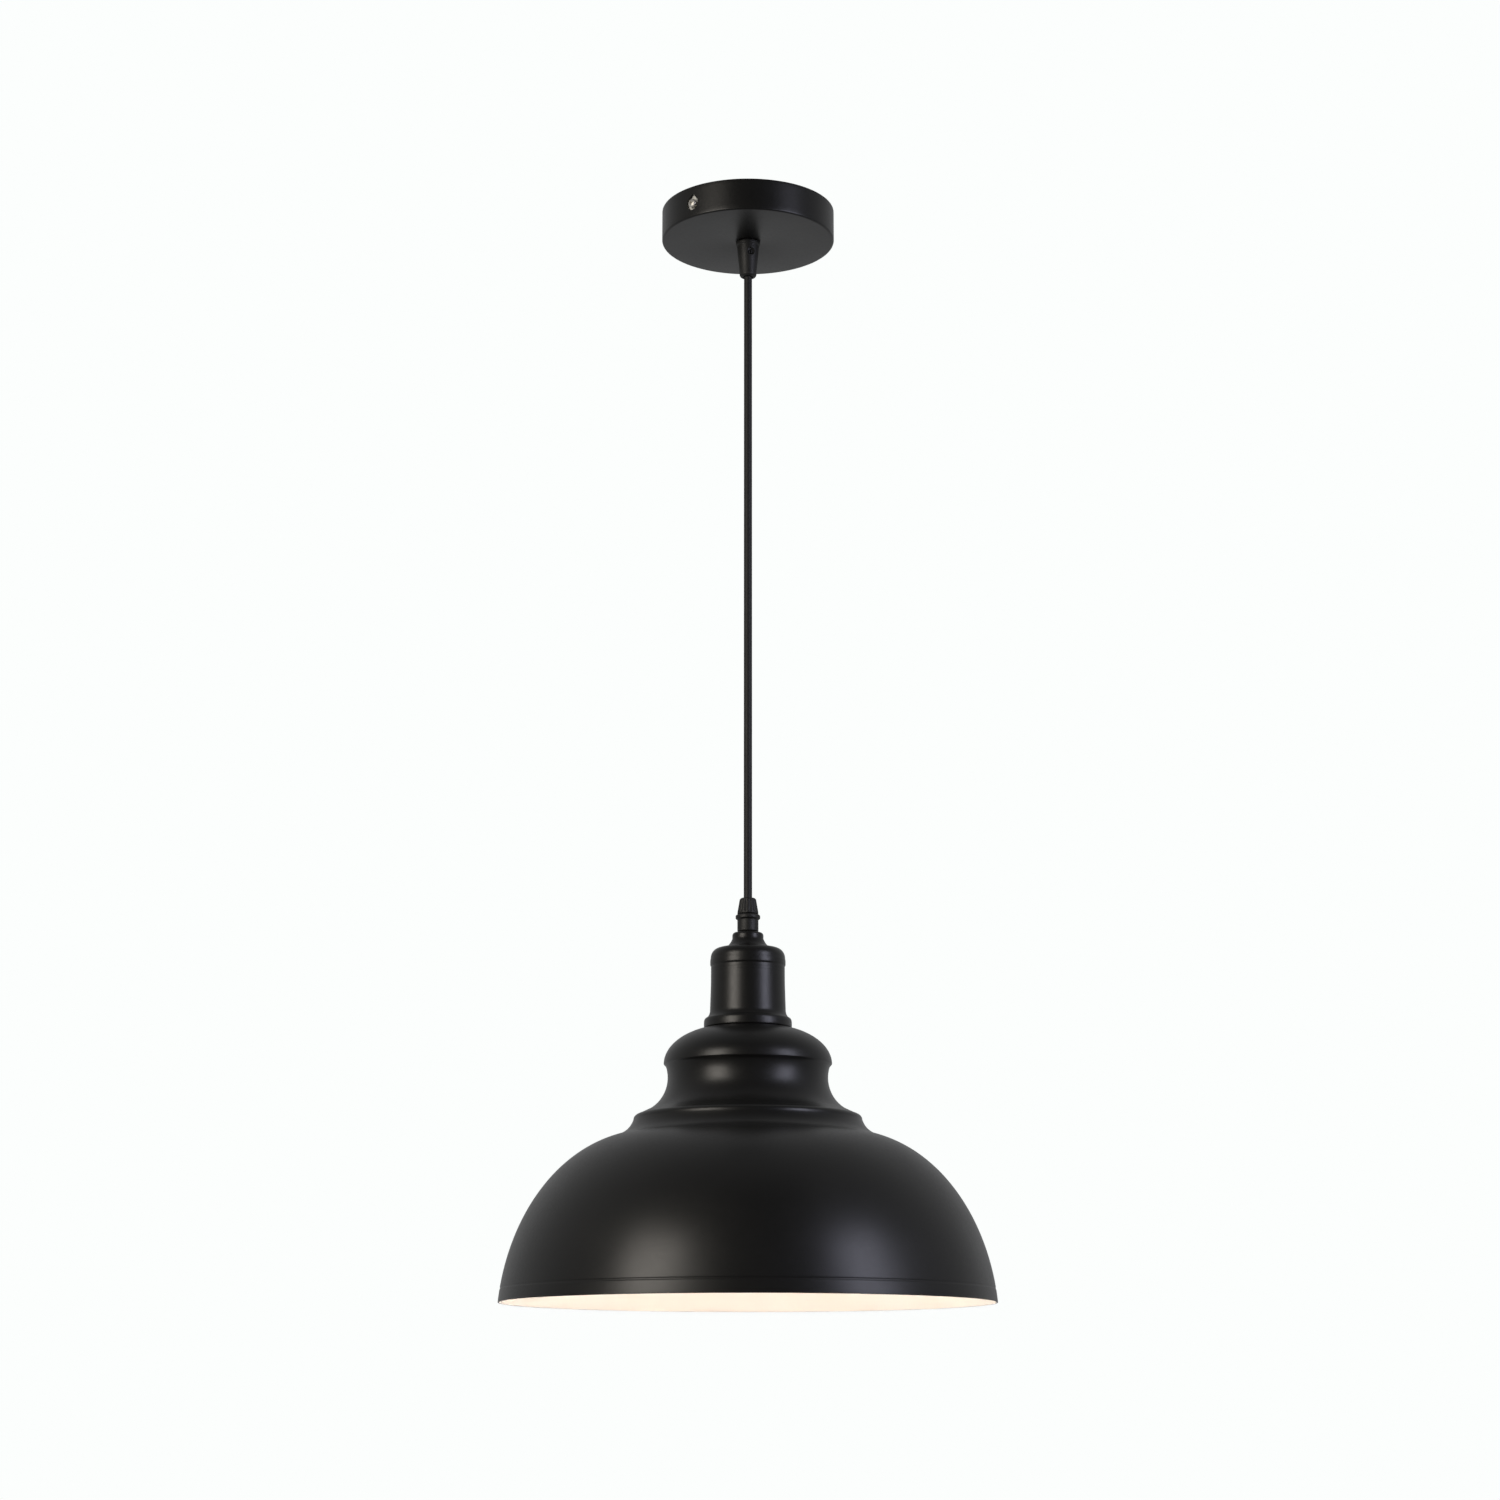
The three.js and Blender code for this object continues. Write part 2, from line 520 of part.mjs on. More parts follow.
function neckCap() {
  const coveTop = neckBottom + NECK.coveAboveFoot;
  const cornerZ = shoulderZ - NECK.cornerHeight;
  const hollow = new THREE.QuadraticBezierCurve(
    new THREE.Vector2(NECK.collar, neckTop - NECK.collarHeight),
    new THREE.Vector2(NECK.collar + NECK.collarFlare, shoulderZ),
    new THREE.Vector2(NECK.flat, shoulderZ),
  ).getPoints(3).map((p) => [p.x, p.y]);
  const corner = NECK.shoulder - NECK.cornerWidth;
  const inner = NECK.waist - NECK.wall;
  return turned([
    [tubeHole, neckTop],
    ...arc(NECK.collar - NECK.collarEdge, neckTop - NECK.collarEdge,
      NECK.collarEdge, NECK.collarEdge, 90, 0, 2),
    ...hollow,
    ...arc(corner, cornerZ, NECK.cornerWidth, NECK.cornerHeight, 80, 0, 4),
    [NECK.bead, cornerZ - NECK.beadFrom],
    [NECK.bead, cornerZ - NECK.beadTo],
    [NECK.waist, cornerZ - NECK.waistFrom],
    [NECK.waist, cornerZ - NECK.waistTo],
    ...arc(NECK.skirt + NECK.coveWidth, coveTop, NECK.coveWidth, NECK.coveHeight, 180, 250, 3),
    [NECK.foot, coveTop - NECK.coveHeight - NECK.footEdge],
    [NECK.foot, neckBottom],
    [NECK.foot - NECK.wall, neckBottom],
    [NECK.foot - NECK.wall, coveTop - NECK.coveHeight - NECK.coveInside],
    [NECK.skirt - NECK.wall, coveTop - NECK.coveInside],
    [inner, cornerZ - NECK.waistTo],
    ...arc(corner, cornerZ, inner - corner, NECK.cornerHeight - NECK.wall, 0, 90, 3),
    [tubeHole, shoulderZ - NECK.wall],
  ], NECK.segments);
}

function holderDome() {
  const inner = HOLDER.radius - HOLDER.wall;
  return turned([
    [tubeHole, holderTop],
    [HOLDER.collar, holderTop],
    ...arc(HOLDER.collar, skirtTop, domeRise, domeRise, 90, 0, 4),
    [HOLDER.radius, domeBottom],
    [inner, domeBottom],
    ...arc(EARTH_TAG.reach, skirtTop, inner - EARTH_TAG.reach, domeRise - HOLDER.wall, 0, 90, 3),
    [tubeHole, innerDomeTop],
  ]);
}

/** The holder's lower body: a flange that the shade hangs from, and the thread for the ring. */
function holderBody() {
  const root = HOLDER.radius - HOLDER.threadDepth;
  const turns = Math.floor((flangeBottom - bodyBottom - HOLDER.threadEnd) / HOLDER.pitch);
  const thread = Array.from({ length: turns }, (_, i) => {
    const z = flangeBottom - HOLDER.threadStart - i * HOLDER.pitch;
    return [[root, z], [HOLDER.radius, z - HOLDER.pitch / 2]];
  }).flat();
  return turned([
    [HOLDER.radius - HOLDER.wall, bodyTop],
    [HOLDER.radius, bodyTop],
    [HOLDER.radius, flangeBottom + HOLDER.flangeHeight],
    [HOLDER.flange, flangeBottom + HOLDER.flangeHeight],
    [HOLDER.flange, flangeBottom],
    [root, flangeBottom],
    ...thread,
    [root, bodyBottom],
    [HOLDER.lip, bodyBottom],
    [HOLDER.lip, bodyBottom + HOLDER.lipHeight],
    [HOLDER.bore, bodyBottom + HOLDER.lipHeight],
    [HOLDER.bore, shellTop],
    [HOLDER.radius - HOLDER.wall, shellTop],
  ]);
}

function holderCore() {
  const disc = washer(HOLDER.radius - HOLDER.wall - CLEARANCE, 0, bodyTop, coreBottom, 24);
  const holes = [0, 120, 240].map((bearing) => washer(CORE.wireHole, 0, 0, 2 * coreBottom, 10)
    .translate(CORE.wireCircle, 0, 0).rotateZ(radians(bearing)));
  return cut(disc, ...holes);
}

const threadShell = () => washer(SHELL.radius, SHELL.radius - SHELL.wall,
  shellTop, shellTop - SHELL.length, 24);
const centreContact = () => washer(CONTACT.radius, 0, shellTop, shellTop - CONTACT.height);
const glandLocknut = () => hexNut(NUT.flats, tubeHole, tagBottom - CLEARANCE, NUT.height);
const upperGripNut = () => hexNut(NUT.flats, tubeHole, cupFloor + CLEARANCE + NUT.height, NUT.height);

/** Earth tag clamped under the dome by the locknut, with a tab for the wire. */
function earthTag() {
  const ring = washer(EARTH_TAG.radius, tubeHole, tagBottom + EARTH_TAG.thickness, tagBottom);
  const inside = (EARTH_TAG.radius + tubeHole) / 2;
  const tab = block(EARTH_TAG.reach - inside, EARTH_TAG.width, EARTH_TAG.thickness,
    (EARTH_TAG.reach + inside) / 2, 0, tagBottom + EARTH_TAG.thickness / 2);
  return join(ring, tab);
}

/** Down out of the sheath, outward on a slant, and straight down into the core's hole. */
function lowerPoleWire(bearing) {
  const [x, y] = coreStart(bearing);
  const reach = CORE.wireCircle / CORE_WIRE.circle;
  const end = bodyTop + 3 * CLEARANCE;
  const fall = lowerWireStart - end;
  return tube([
    [x, y, lowerWireStart],
    [x, y, lowerWireStart - 0.16 * fall],
    [x * 0.45 * reach, y * 0.45 * reach, lowerWireStart - 0.41 * fall],
    [x * 0.9 * reach, y * 0.9 * reach, lowerWireStart - 0.65 * fall],
    [x * reach, y * reach, end],
  ], CORE_WIRE.radius, CORE_WIRE.sides, 10);
}

/** Out below the sheath's end, then back up to the tag's tab. */
function lowerEarthWire() {
  const [x, y] = coreStart(0);
  const tabX = EARTH_TAG.reach - CORE_WIRE.radius;
  const { radius } = CORE_WIRE;
  return tube([
    [x, y, lowerWireStart],
    [x + 0.2 * radius, y, lowerWireStart - 2 * radius],
    [x + 4 * radius, y, lowerWireStart - 3.9 * radius],
    [tabX - radius, y, lowerWireStart - 1.8 * radius],
    [tabX, y, lowerWireStart + 2 * radius],
    [tabX, y, tagBottom - CLEARANCE],
  ], radius, CORE_WIRE.sides, 12);
}

/** The spun shade: crown, hollow waist, ledge and short skirt, then the wide dome down to its rim. */
function shadeOutline() {
  const waistCentre = [SHADE.waist + SHADE.waistRadius, shadeTop - SHADE.waistDrop];
  const ledgeZ = shadeTop - SHADE.ledgeDrop;
  const waistTop = degrees(Math.asin((SHADE.waistDrop - SHADE.crownDepth) / SHADE.waistRadius));
  const waistEnd = degrees(Math.asin((SHADE.ledgeDrop - SHADE.waistDrop) / SHADE.waistRadius));
  const crownReach = SHADE.crown - SHADE.crownCentre;
  const crownStart = degrees(Math.acos((shadeHole - SHADE.crownCentre) / crownReach));
  const domeCentreZ = rimZ - SHADE.domeCentreBelowRim;
  const rimRise = Math.asin(SHADE.domeCentreBelowRim / SHADE.domeHeight);
  const domeReach = (SHADE.rim - SHADE.domeCentre) / Math.cos(rimRise);
  const domeStart = degrees(Math.acos((SHADE.domeFoot - SHADE.domeCentre) / domeReach));
  return [
    ...arc(SHADE.crownCentre, shadeTop - SHADE.crownDepth, crownReach, SHADE.crownDepth,
      crownStart, 0, 5),
    ...arc(...waistCentre, SHADE.waistRadius, SHADE.waistRadius,
      180 + SHADE.waistLead - waistTop, 180 + waistEnd, 6),
    ...arc(SHADE.ledge - SHADE.ledgeFillet, ledgeZ - SHADE.ledgeFillet, SHADE.ledgeFillet,
      SHADE.ledgeFillet, 75, 0, 2),
    [SHADE.skirt, shadeTop - SHADE.skirtDrop],
    ...arc(SHADE.domeCentre, domeCentreZ, domeReach, SHADE.domeHeight,
      domeStart, degrees(rimRise), 8),
  ];
}

function shade() {
  const outer = shadeOutline();
  const inner = offset(outer, SHADE.wall);
  return turned([...outer, ...inner.reverse()], SHADE.segments);
}

function shadeRing() {
  const top = crownZ(RING.radius) - SHADE.wall - 2 * CLEARANCE;
  const bottom = top - RING.height;
  const inner = HOLDER.radius + RUNNING;
  const ring = turned([[inner, top], [RING.radius, top], [RING.radius, bottom + RING.edge],
    [RING.radius - RING.edge, bottom], [inner, bottom]], 2 * RING.notches);
  return notched(ring, RING.notches, RING.notch, inner + RING.notchFrom);
}

// ---------------------------------------------------------------- bulb

function bulbGlobe() {
  const top = capBottom - CLEARANCE;
  const bottom = bulbTop - BULB.length;
  const centre = bottom + BULB.globe;
  const neckEnd = top - BULB.neckLength;
  const lean = radians(BULB.shoulder);
  const handle = BULB.globe / 4;              // the flank meets the globe along its tangent
  const meeting = new THREE.Vector2(BULB.globe * Math.cos(lean), centre + BULB.globe * Math.sin(lean));
  const flank = new THREE.CubicBezierCurve(
    new THREE.Vector2(BULB.neck, neckEnd),
    new THREE.Vector2(BULB.neck, neckEnd - handle),
    new THREE.Vector2(meeting.x - handle * Math.sin(lean), meeting.y + handle * Math.cos(lean)),
    meeting,
  ).getPoints(4).map((p) => [p.x, p.y]);
  return turned([[0, top], [BULB.neck, top], ...flank,
    ...arc(0, centre, BULB.globe, BULB.globe, BULB.shoulder - 12, -78, 6), [0, bottom]], 28);
}

/** The drawn cap, its rounded thread made as rings a pitch apart. */
function bulbCap() {
  const steps = Math.round((2 * BULB.capLength) / BULB.capPitch);
  const thread = Array.from({ length: steps + 1 }, (_, i) =>
    [BULB.cap - (i % 2 ? 0 : BULB.capThread), capTop - (BULB.capLength * i) / steps]);
  const bore = BULB.cap - BULB.capThread - BULB.capWall;
  return turned([...thread, [bore, capBottom], [bore, capTop]]);
}

const bulbInsulator = () => turned([[0, insulatorTop], [BULB.insulatorTop, insulatorTop],
  [BULB.insulator, insulatorTop - BULB.insulatorHeight],
  [0, insulatorTop - BULB.insulatorHeight]], 18);
const bulbContact = () => turned([[0, bulbTop], [BULB.tip - BULB.tipEdge, bulbTop],
  [BULB.tip, bulbTop - BULB.tipEdge], [BULB.tip, bulbTop - BULB.tipHeight],
  [0, bulbTop - BULB.tipHeight]], 14);

// ---------------------------------------------------------------- assembly

const fitting = new THREE.Group();
fitting.rotation.z = radians(STRAP.bearing);
fitting.add(
  named("ceiling_bracket", ceilingBracket(), FINISH.zinc),
  named("ceiling_cup", ceilingCup(), FINISH.blackPaint),
  named("side_screw_front", sideScrew(), FINISH.nickel),
  named("side_screw_back", sideScrew().rotateZ(Math.PI), FINISH.nickel),
  named("terminal_block", terminalBlock(), FINISH.blockPlastic),
  named("block_screw", blockScrew(), FINISH.zinc),
  named("earth_screw_upper", earthScrew(), FINISH.brass),
  named("earth_ring_upper", upperEarthRing(), FINISH.nickel),
  named("live_wire_upper", upperPoleWire(POLES.live), FINISH.liveBrown),
  named("neutral_wire_upper", upperPoleWire(POLES.neutral), FINISH.neutralBlue),
  named("earth_wire_upper", upperEarthWire(), FINISH.earthGreen),
);
for (const [pole, side] of Object.entries(POLES)) {
  fitting.add(named(`terminal_sleeve_${pole}`, terminalSleeve(side), FINISH.brass));
  for (const [place, end] of Object.entries(ENDS)) {
    fitting.add(named(`terminal_screw_${pole}_${place}`, terminalScrew(side, end), FINISH.zinc));
  }
}

const flex = new THREE.Group();
flex.add(
  named("upper_cord_grip", upperCordGrip(), FINISH.blackPlastic),
  named("upper_grip_nut", upperGripNut(), FINISH.zinc),
  named("upper_grip_screw", clampScrew(), FINISH.zinc),
  named("cord_tail_upper", upperCordTail(), FINISH.blackFlex),
  named("flex_cord", flexCord(), FINISH.blackFlex),
  named("cord_tail_lower", lowerCordTail(), FINISH.blackFlex),
  named("gland_nut", glandNut(), FINISH.blackPlastic),
  named("gland_seal", glandSeal(), FINISH.rubber),
  named("gland_body", glandBody(), FINISH.blackPlastic),
);

const head = new THREE.Group();
head.add(
  named("neck_cap", neckCap(), FINISH.blackPaint),
  named("gland_locknut", glandLocknut(), FINISH.zinc),
  named("earth_tag_lower", earthTag(), FINISH.nickel),
  named("holder_dome", holderDome(), FINISH.bakelite),
  named("holder_body", holderBody(), FINISH.bakelite),
  named("holder_core", holderCore(), FINISH.ceramic),
  named("holder_thread_shell", threadShell(), FINISH.brass),
  named("centre_contact", centreContact(), FINISH.brass),
  named("live_wire_lower", lowerPoleWire(120), FINISH.liveBrown),
  named("neutral_wire_lower", lowerPoleWire(240), FINISH.neutralBlue),
  named("earth_wire_lower", lowerEarthWire(), FINISH.earthGreen),
  named("shade", shade(), FINISH.blackPaint),
  named("shade_ring", shadeRing(), FINISH.bakelite),
);

const bulb = new THREE.Group();
bulb.add(
  named("bulb_contact", bulbContact(), FINISH.nickel),
  named("bulb_insulator", bulbInsulator(), FINISH.blackGlass),
  named("bulb_cap", bulbCap(), FINISH.aluminium),
  named("bulb_globe", bulbGlobe(), FINISH.opalPlastic),
);

const lamp = new THREE.Group();
lamp.add(fitting, flex, head, bulb);

export default lamp;
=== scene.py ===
"""Looks of the pendant ceiling light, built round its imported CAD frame.

Every length of the lamp is in millimetres, as in the part's own source, and turns
to metres where a mesh is made. The studio is set out in metres. +Z is up and the
ceiling is at zero.
"""

import bmesh
import bpy
import json
import logging
import math
from collections.abc import Callable, Sequence
from dataclasses import dataclass
from enum import Enum

from mathutils import Matrix, Vector

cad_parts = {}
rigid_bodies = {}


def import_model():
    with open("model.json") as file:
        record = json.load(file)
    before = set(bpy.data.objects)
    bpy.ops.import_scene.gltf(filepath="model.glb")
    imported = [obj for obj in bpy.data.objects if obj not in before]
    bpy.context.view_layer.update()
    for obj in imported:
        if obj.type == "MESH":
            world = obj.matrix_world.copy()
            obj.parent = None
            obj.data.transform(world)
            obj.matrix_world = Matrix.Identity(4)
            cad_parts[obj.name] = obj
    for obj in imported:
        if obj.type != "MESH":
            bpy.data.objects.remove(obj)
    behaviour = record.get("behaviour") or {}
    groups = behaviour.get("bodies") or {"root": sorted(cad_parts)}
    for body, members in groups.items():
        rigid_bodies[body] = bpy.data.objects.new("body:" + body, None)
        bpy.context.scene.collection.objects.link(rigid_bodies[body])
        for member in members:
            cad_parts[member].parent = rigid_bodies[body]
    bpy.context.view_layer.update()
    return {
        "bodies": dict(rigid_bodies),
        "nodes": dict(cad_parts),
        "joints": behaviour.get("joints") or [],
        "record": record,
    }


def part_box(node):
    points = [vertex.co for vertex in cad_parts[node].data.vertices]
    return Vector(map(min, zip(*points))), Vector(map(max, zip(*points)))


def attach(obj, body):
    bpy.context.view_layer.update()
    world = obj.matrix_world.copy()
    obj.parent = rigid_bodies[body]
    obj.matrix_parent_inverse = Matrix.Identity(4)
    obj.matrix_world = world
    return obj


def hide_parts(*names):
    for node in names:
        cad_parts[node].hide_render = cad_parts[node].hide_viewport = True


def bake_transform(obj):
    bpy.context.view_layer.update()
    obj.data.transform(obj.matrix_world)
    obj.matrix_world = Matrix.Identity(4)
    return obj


log = logging.getLogger("pendant_light")

MM = 0.001
# Two points of a mesh that are nearer than this, in metres, are one point.
DOUBLED = 1e-6
# A length in mm that counts as none.
NOUGHT = 1e-6
# Edges show as edges above this many degrees: on new pieces, carried ones and wires.
SHARP = 32.0
CARRIED_SHARP = 35.0
WIRE_SHARP = 60.0
# The part of a pattern's range that holds most of its variation, and of a speck's.
PATTERN_SPAN = (0.25, 0.75)
SPECK_SPAN = (0.66, 0.74)
# The share of a side that a corner's rounding may take.
CORNER_SHARE = 0.45

Point = tuple[float, float]
Corner = tuple[float, float, float]
Colour = tuple[float, float, float, float]
Ripple = Callable[[float, float, float], float]
Piece = bpy.types.Object
Tree = bpy.types.NodeTree
Socket = bpy.types.NodeSocket


# ------------------------------------------------------------------ finishes


def linear(code: str) -> Colour:
    """Turn an sRGB hex colour to the linear values that shaders take.

    Args:
        code: Six hex digits, such as "1c1c1b".

    Returns:
        Red, green, blue and full alpha.
    """
    parts = [int(code[i : i + 2], 16) / 255 for i in (0, 2, 4)]
    red, green, blue = (
        c / 12.92 if c <= 0.04045 else ((c + 0.055) / 1.055) ** 2.4 for c in parts
    )
    return red, green, blue, 1.0


def feed(tree: Tree, node: bpy.types.Node, inputs: dict) -> None:
    """Set or link the inputs of a node that already stands in a tree.

    Args:
        tree: The node tree.
        node: The node.
        inputs: Values or linked sockets by input name or number.
    """
    for name, value in inputs.items():
        if isinstance(value, Socket):
            tree.links.new(value, node.inputs[name])
        else:
            node.inputs[name].default_value = value


def add_node(tree: Tree, kind: str, settings: dict | None = None,
             inputs: dict | None = None) -> bpy.types.Node:
    """Add a node, set it up and link it.

    Args:
        tree: The node tree it joins.
        kind: The node's Blender type.
        settings: Properties of the node by name.
        inputs: Values or linked sockets by input name or number.

    Returns:
        The new node.
    """
    node = tree.nodes.new(kind)
    for name, value in (settings or {}).items():
        setattr(node, name, value)
    feed(tree, node, inputs or {})
    return node


class Figure(Enum):
    """The shape that a surface's grain takes."""

    CLOUDY = "soft cloudy patches"
    PEBBLED = "small rounded cells"
    LINED = "fine lines along one direction"
    SPECKLED = "scattered specks"


# How many octaves of finer noise each figure holds.
DETAIL = {Figure.CLOUDY: 2.0, Figure.LINED: 5.0, Figure.SPECKLED: 1.0}


@dataclass(frozen=True)
class Grain:
    """One layer of a surface's own pattern.

    Attributes:
        figure: The shape of the pattern.
        size: Width of one feature, in mm.
        height: How far it stands proud, in mm.
        stretch: How many times longer a feature is along X, Y and Z.
        tint: How far it pulls the colour towards the finish's second colour.
        gloss: How far it raises the roughness.
    """

    figure: Figure
    size: float
    height: float = 0.0
    stretch: tuple[float, float, float] = (1.0, 1.0, 1.0)
    tint: float = 0.0
    gloss: float = 0.0

    def value(self, tree: Tree, place: Socket) -> Socket:
        """Build the pattern.

        Args:
            tree: The material's node tree.
            place: The coordinates that it is drawn in.

        Returns:
            Its value, from 0 to 1.
        """
        scale = tuple(1 / (self.size * MM * along) for along in self.stretch)
        mapped = add_node(tree, "ShaderNodeMapping", {}, {"Vector": place, "Scale": scale})
        inputs = {"Vector": mapped.outputs["Vector"], "Scale": 1.0}
        if self.figure is Figure.PEBBLED:
            cells = add_node(tree, "ShaderNodeTexVoronoi", {"feature": "SMOOTH_F1"}, inputs)
            return cells.outputs["Distance"]
        inputs["Detail"] = DETAIL[self.figure]
        cloud = add_node(tree, "ShaderNodeTexNoise", {}, inputs).outputs["Fac"]
        if self.figure is not Figure.SPECKLED:
            return cloud
        specks = add_node(tree, "ShaderNodeMapRange", {"clamp": True},
                          {"Value": cloud, "From Min": SPECK_SPAN[0], "From Max": SPECK_SPAN[1]})
        return specks.outputs["Result"]

    def lay(self, tree: Tree, place: Socket, second: Colour, over: dict) -> None:
        """Lay this grain over the ones before it.

        Args:
            tree: The material's node tree.
            place: The coordinates that the pattern is drawn in.
            second: The colour that it pulls towards.
            over: What the shader's inputs hold so far, which this changes.
        """
        value = self.value(tree, place)
        span = {"Value": value, "From Min": PATTERN_SPAN[0], "From Max": PATTERN_SPAN[1]}
        if self.tint:
            share = add_node(tree, "ShaderNodeMapRange", {"clamp": True},
                             {**span, "To Max": self.tint}).outputs["Result"]
            mix = add_node(tree, "ShaderNodeMix", {"data_type": "RGBA"},
                           {0: share, 6: over["Base Color"], 7: second})
            over["Base Color"] = mix.outputs[2]
        if self.gloss:
            ends = {"To Min": -self.gloss / 2, "To Max": self.gloss / 2}
            raised = add_node(tree, "ShaderNodeMapRange", {"clamp": True}, {**span, **ends})
            total = add_node(tree, "ShaderNodeMath", {"operation": "ADD"},
                             {0: raised.outputs["Result"], 1: over["Roughness"]})
            over["Roughness"] = total.outputs["Value"]
        if self.height:
            relief = {"Height": value, "Distance": self.height * MM, "Strength": 1.0}
            if "Normal" in over:
                relief["Normal"] = over["Normal"]
            over["Normal"] = add_node(tree, "ShaderNodeBump", {}, relief).outputs["Normal"]


@dataclass(frozen=True)
class Finish:
    """A real surface: its colour, its gloss and the grain of how it was made.

    Attributes:
        name: The material's name.
        colour: Its sRGB hex colour.
        second: The sRGB hex colour that its grain pulls towards.
        roughness: Principled roughness between the grain's features.
        metallic: 1 for bare metal.
        ior: Refractive index of a surface that isn't metal.
        coat: Weight of a clear gloss skin.
        coat_roughness: Roughness of that skin.
        scatter: Weight of light that travels inside it.
        scatter_mm: How far that light travels, in mm.
        glow: Strength of the light that it gives.
        glow_colour: The sRGB hex colour of that light.
        grains: The layers of its pattern.
    """

    name: str
    colour: str
    second: str
    roughness: float
    metallic: float = 0.0
    ior: float = 1.5
    coat: float = 0.0
    coat_roughness: float = 0.1
    scatter: float = 0.0
    scatter_mm: float = 1.0
    glow: float = 0.0
    glow_colour: str = "ffffff"
    grains: tuple[Grain, ...] = ()

    def material(self) -> bpy.types.Material:
        """Return this finish as a material, made on its first use."""
        return bpy.data.materials.get(self.name) or self.build()

    def build(self) -> bpy.types.Material:
        """Make the material's nodes, plain first and then with every grain over it.

        Returns:
            The new material.
        """
        made = bpy.data.materials.new(self.name)
        made.use_nodes = True
        tree = made.node_tree
        shader = tree.nodes["Principled BSDF"]
        layered = {"Base Color": linear(self.colour), "Roughness": self.roughness}
        feed(tree, shader, {
            **layered,
            "Metallic": self.metallic,
            "Coat Weight": self.coat,
            "Coat Roughness": self.coat_roughness,
            "Subsurface Weight": self.scatter,
            "Subsurface Scale": self.scatter_mm * MM,
            "Emission Color": linear(self.glow_colour),
            "Emission Strength": self.glow,
        })
        if not self.metallic:
            shader.inputs["IOR"].default_value = self.ior
        place = add_node(tree, "ShaderNodeTexCoord").outputs["Object"]
        for grain in self.grains:
            grain.lay(tree, place, linear(self.second), layered)
        feed(tree, shader, layered)
        return made


# Sprayed and stoved satin paint on spun steel: deep soft-edged highlights, with a
# faint orange peel that breaks their edges and a few dust nibs.
SATIN_PAINT = Finish(
    "satin_black_paint_on_spun_steel", "131312", "1a1917", 0.36,
    grains=(
        Grain(Figure.CLOUDY, 1.6, height=0.012, gloss=0.05),
        Grain(Figure.CLOUDY, 45.0, tint=0.5, gloss=0.06),
        Grain(Figure.SPECKLED, 0.9, height=0.01, tint=0.25),
    ),
)
# White stoved enamel inside the shade: a soft even white that spreads the lamp's light.
WHITE_ENAMEL = Finish(
    "white_stoved_enamel", "f3f0e8", "e9e4d6", 0.42,
    grains=(
        Grain(Figure.CLOUDY, 1.8, height=0.012, gloss=0.05),
        Grain(Figure.CLOUDY, 60.0, tint=0.4),
    ),
)
# Injection-moulded nylon from a spark-eroded tool: dull, evenly pebbled black.
# The real pebbles are about 0.08 mm wide; they are drawn at 0.35 mm so that they show.
MOULDED_NYLON = Finish(
    "moulded_black_nylon", "161615", "1f1f1d", 0.54, ior=1.53,
    grains=(
        Grain(Figure.PEBBLED, 0.35, height=0.02, gloss=0.12),
        Grain(Figure.CLOUDY, 6.0, tint=0.5, gloss=0.06),
    ),
)
# Extruded PVC sheath: smooth, slightly waxy, with long draw lines along its length.
PVC_SHEATH = Finish(
    "extruded_black_pvc_sheath", "0e0e0e", "161615", 0.6, ior=1.53,
    grains=(
        Grain(Figure.LINED, 0.45, height=0.005, stretch=(1.0, 1.0, 60.0), gloss=0.1),
        Grain(Figure.CLOUDY, 9.0, height=0.02, stretch=(1.0, 1.0, 3.0), tint=0.6),
    ),
)
# Zinc plate over rolled strip, with rolling lines. Its near-white colour, set only part
# metal, is painted reflection: the pale diffuse share stands for the bright room that the
# bare plate would mirror, so that it reads as pale and milky as the object's does in this
# dark-fronted room.
ZINC_PLATE_PAINTED_REFLECTION = Finish(
    "zinc_plated_steel_painted_reflection", "f4f4f0", "dcdbd1", 0.42, metallic=0.35,
    grains=(
        Grain(Figure.LINED, 0.12, height=0.003, stretch=(30.0, 30.0, 1.0), gloss=0.12),
        Grain(Figure.CLOUDY, 3.5, tint=0.7, gloss=0.14),
    ),
)
# Dull nickel plate on small screws: warm, with tumbling marks. It is a little less than
# full metal, and its pale diffuse share is painted reflection of a brighter room, to match
# the object's pale screw head.
NICKEL_PLATE_PAINTED_REFLECTION = Finish(
    "nickel_plated_steel_painted_reflection", "e4e1da", "c6c1b7", 0.42, metallic=0.75,
    grains=(
        Grain(Figure.CLOUDY, 0.5, height=0.006, gloss=0.12),
        Grain(Figure.CLOUDY, 2.0, tint=0.6),
    ),
)
# Brass, turned or pressed: yellow, with fine tool lines round it and a trace of tarnish.
TURNED_BRASS = Finish(
    "turned_brass", "c9a253", "8f6d34", 0.26, metallic=1.0,
    grains=(
        Grain(Figure.LINED, 0.15, height=0.003, stretch=(25.0, 25.0, 1.0), gloss=0.12),
        Grain(Figure.CLOUDY, 4.0, tint=0.55, gloss=0.1),
    ),
)
# Compression-moulded phenolic: near black with a brown cast, glossy, faintly mottled.
PHENOLIC = Finish(
    "moulded_black_phenolic", "1a1715", "2c241e", 0.24, ior=1.6, coat=0.25, coat_roughness=0.12,
    grains=(
        Grain(Figure.CLOUDY, 2.5, height=0.01, tint=0.6, gloss=0.1),
        Grain(Figure.SPECKLED, 0.5, tint=0.35),
    ),
)
# Pressed steatite ceramic: matt off-white, with a fine sandy tooth.
STEATITE = Finish(
    "pressed_steatite_ceramic", "e6e1d3", "cfc8b6", 0.62, ior=1.6,
    grains=(
        Grain(Figure.PEBBLED, 0.3, height=0.03, gloss=0.1),
        Grain(Figure.SPECKLED, 0.45, tint=0.8),
    ),
)
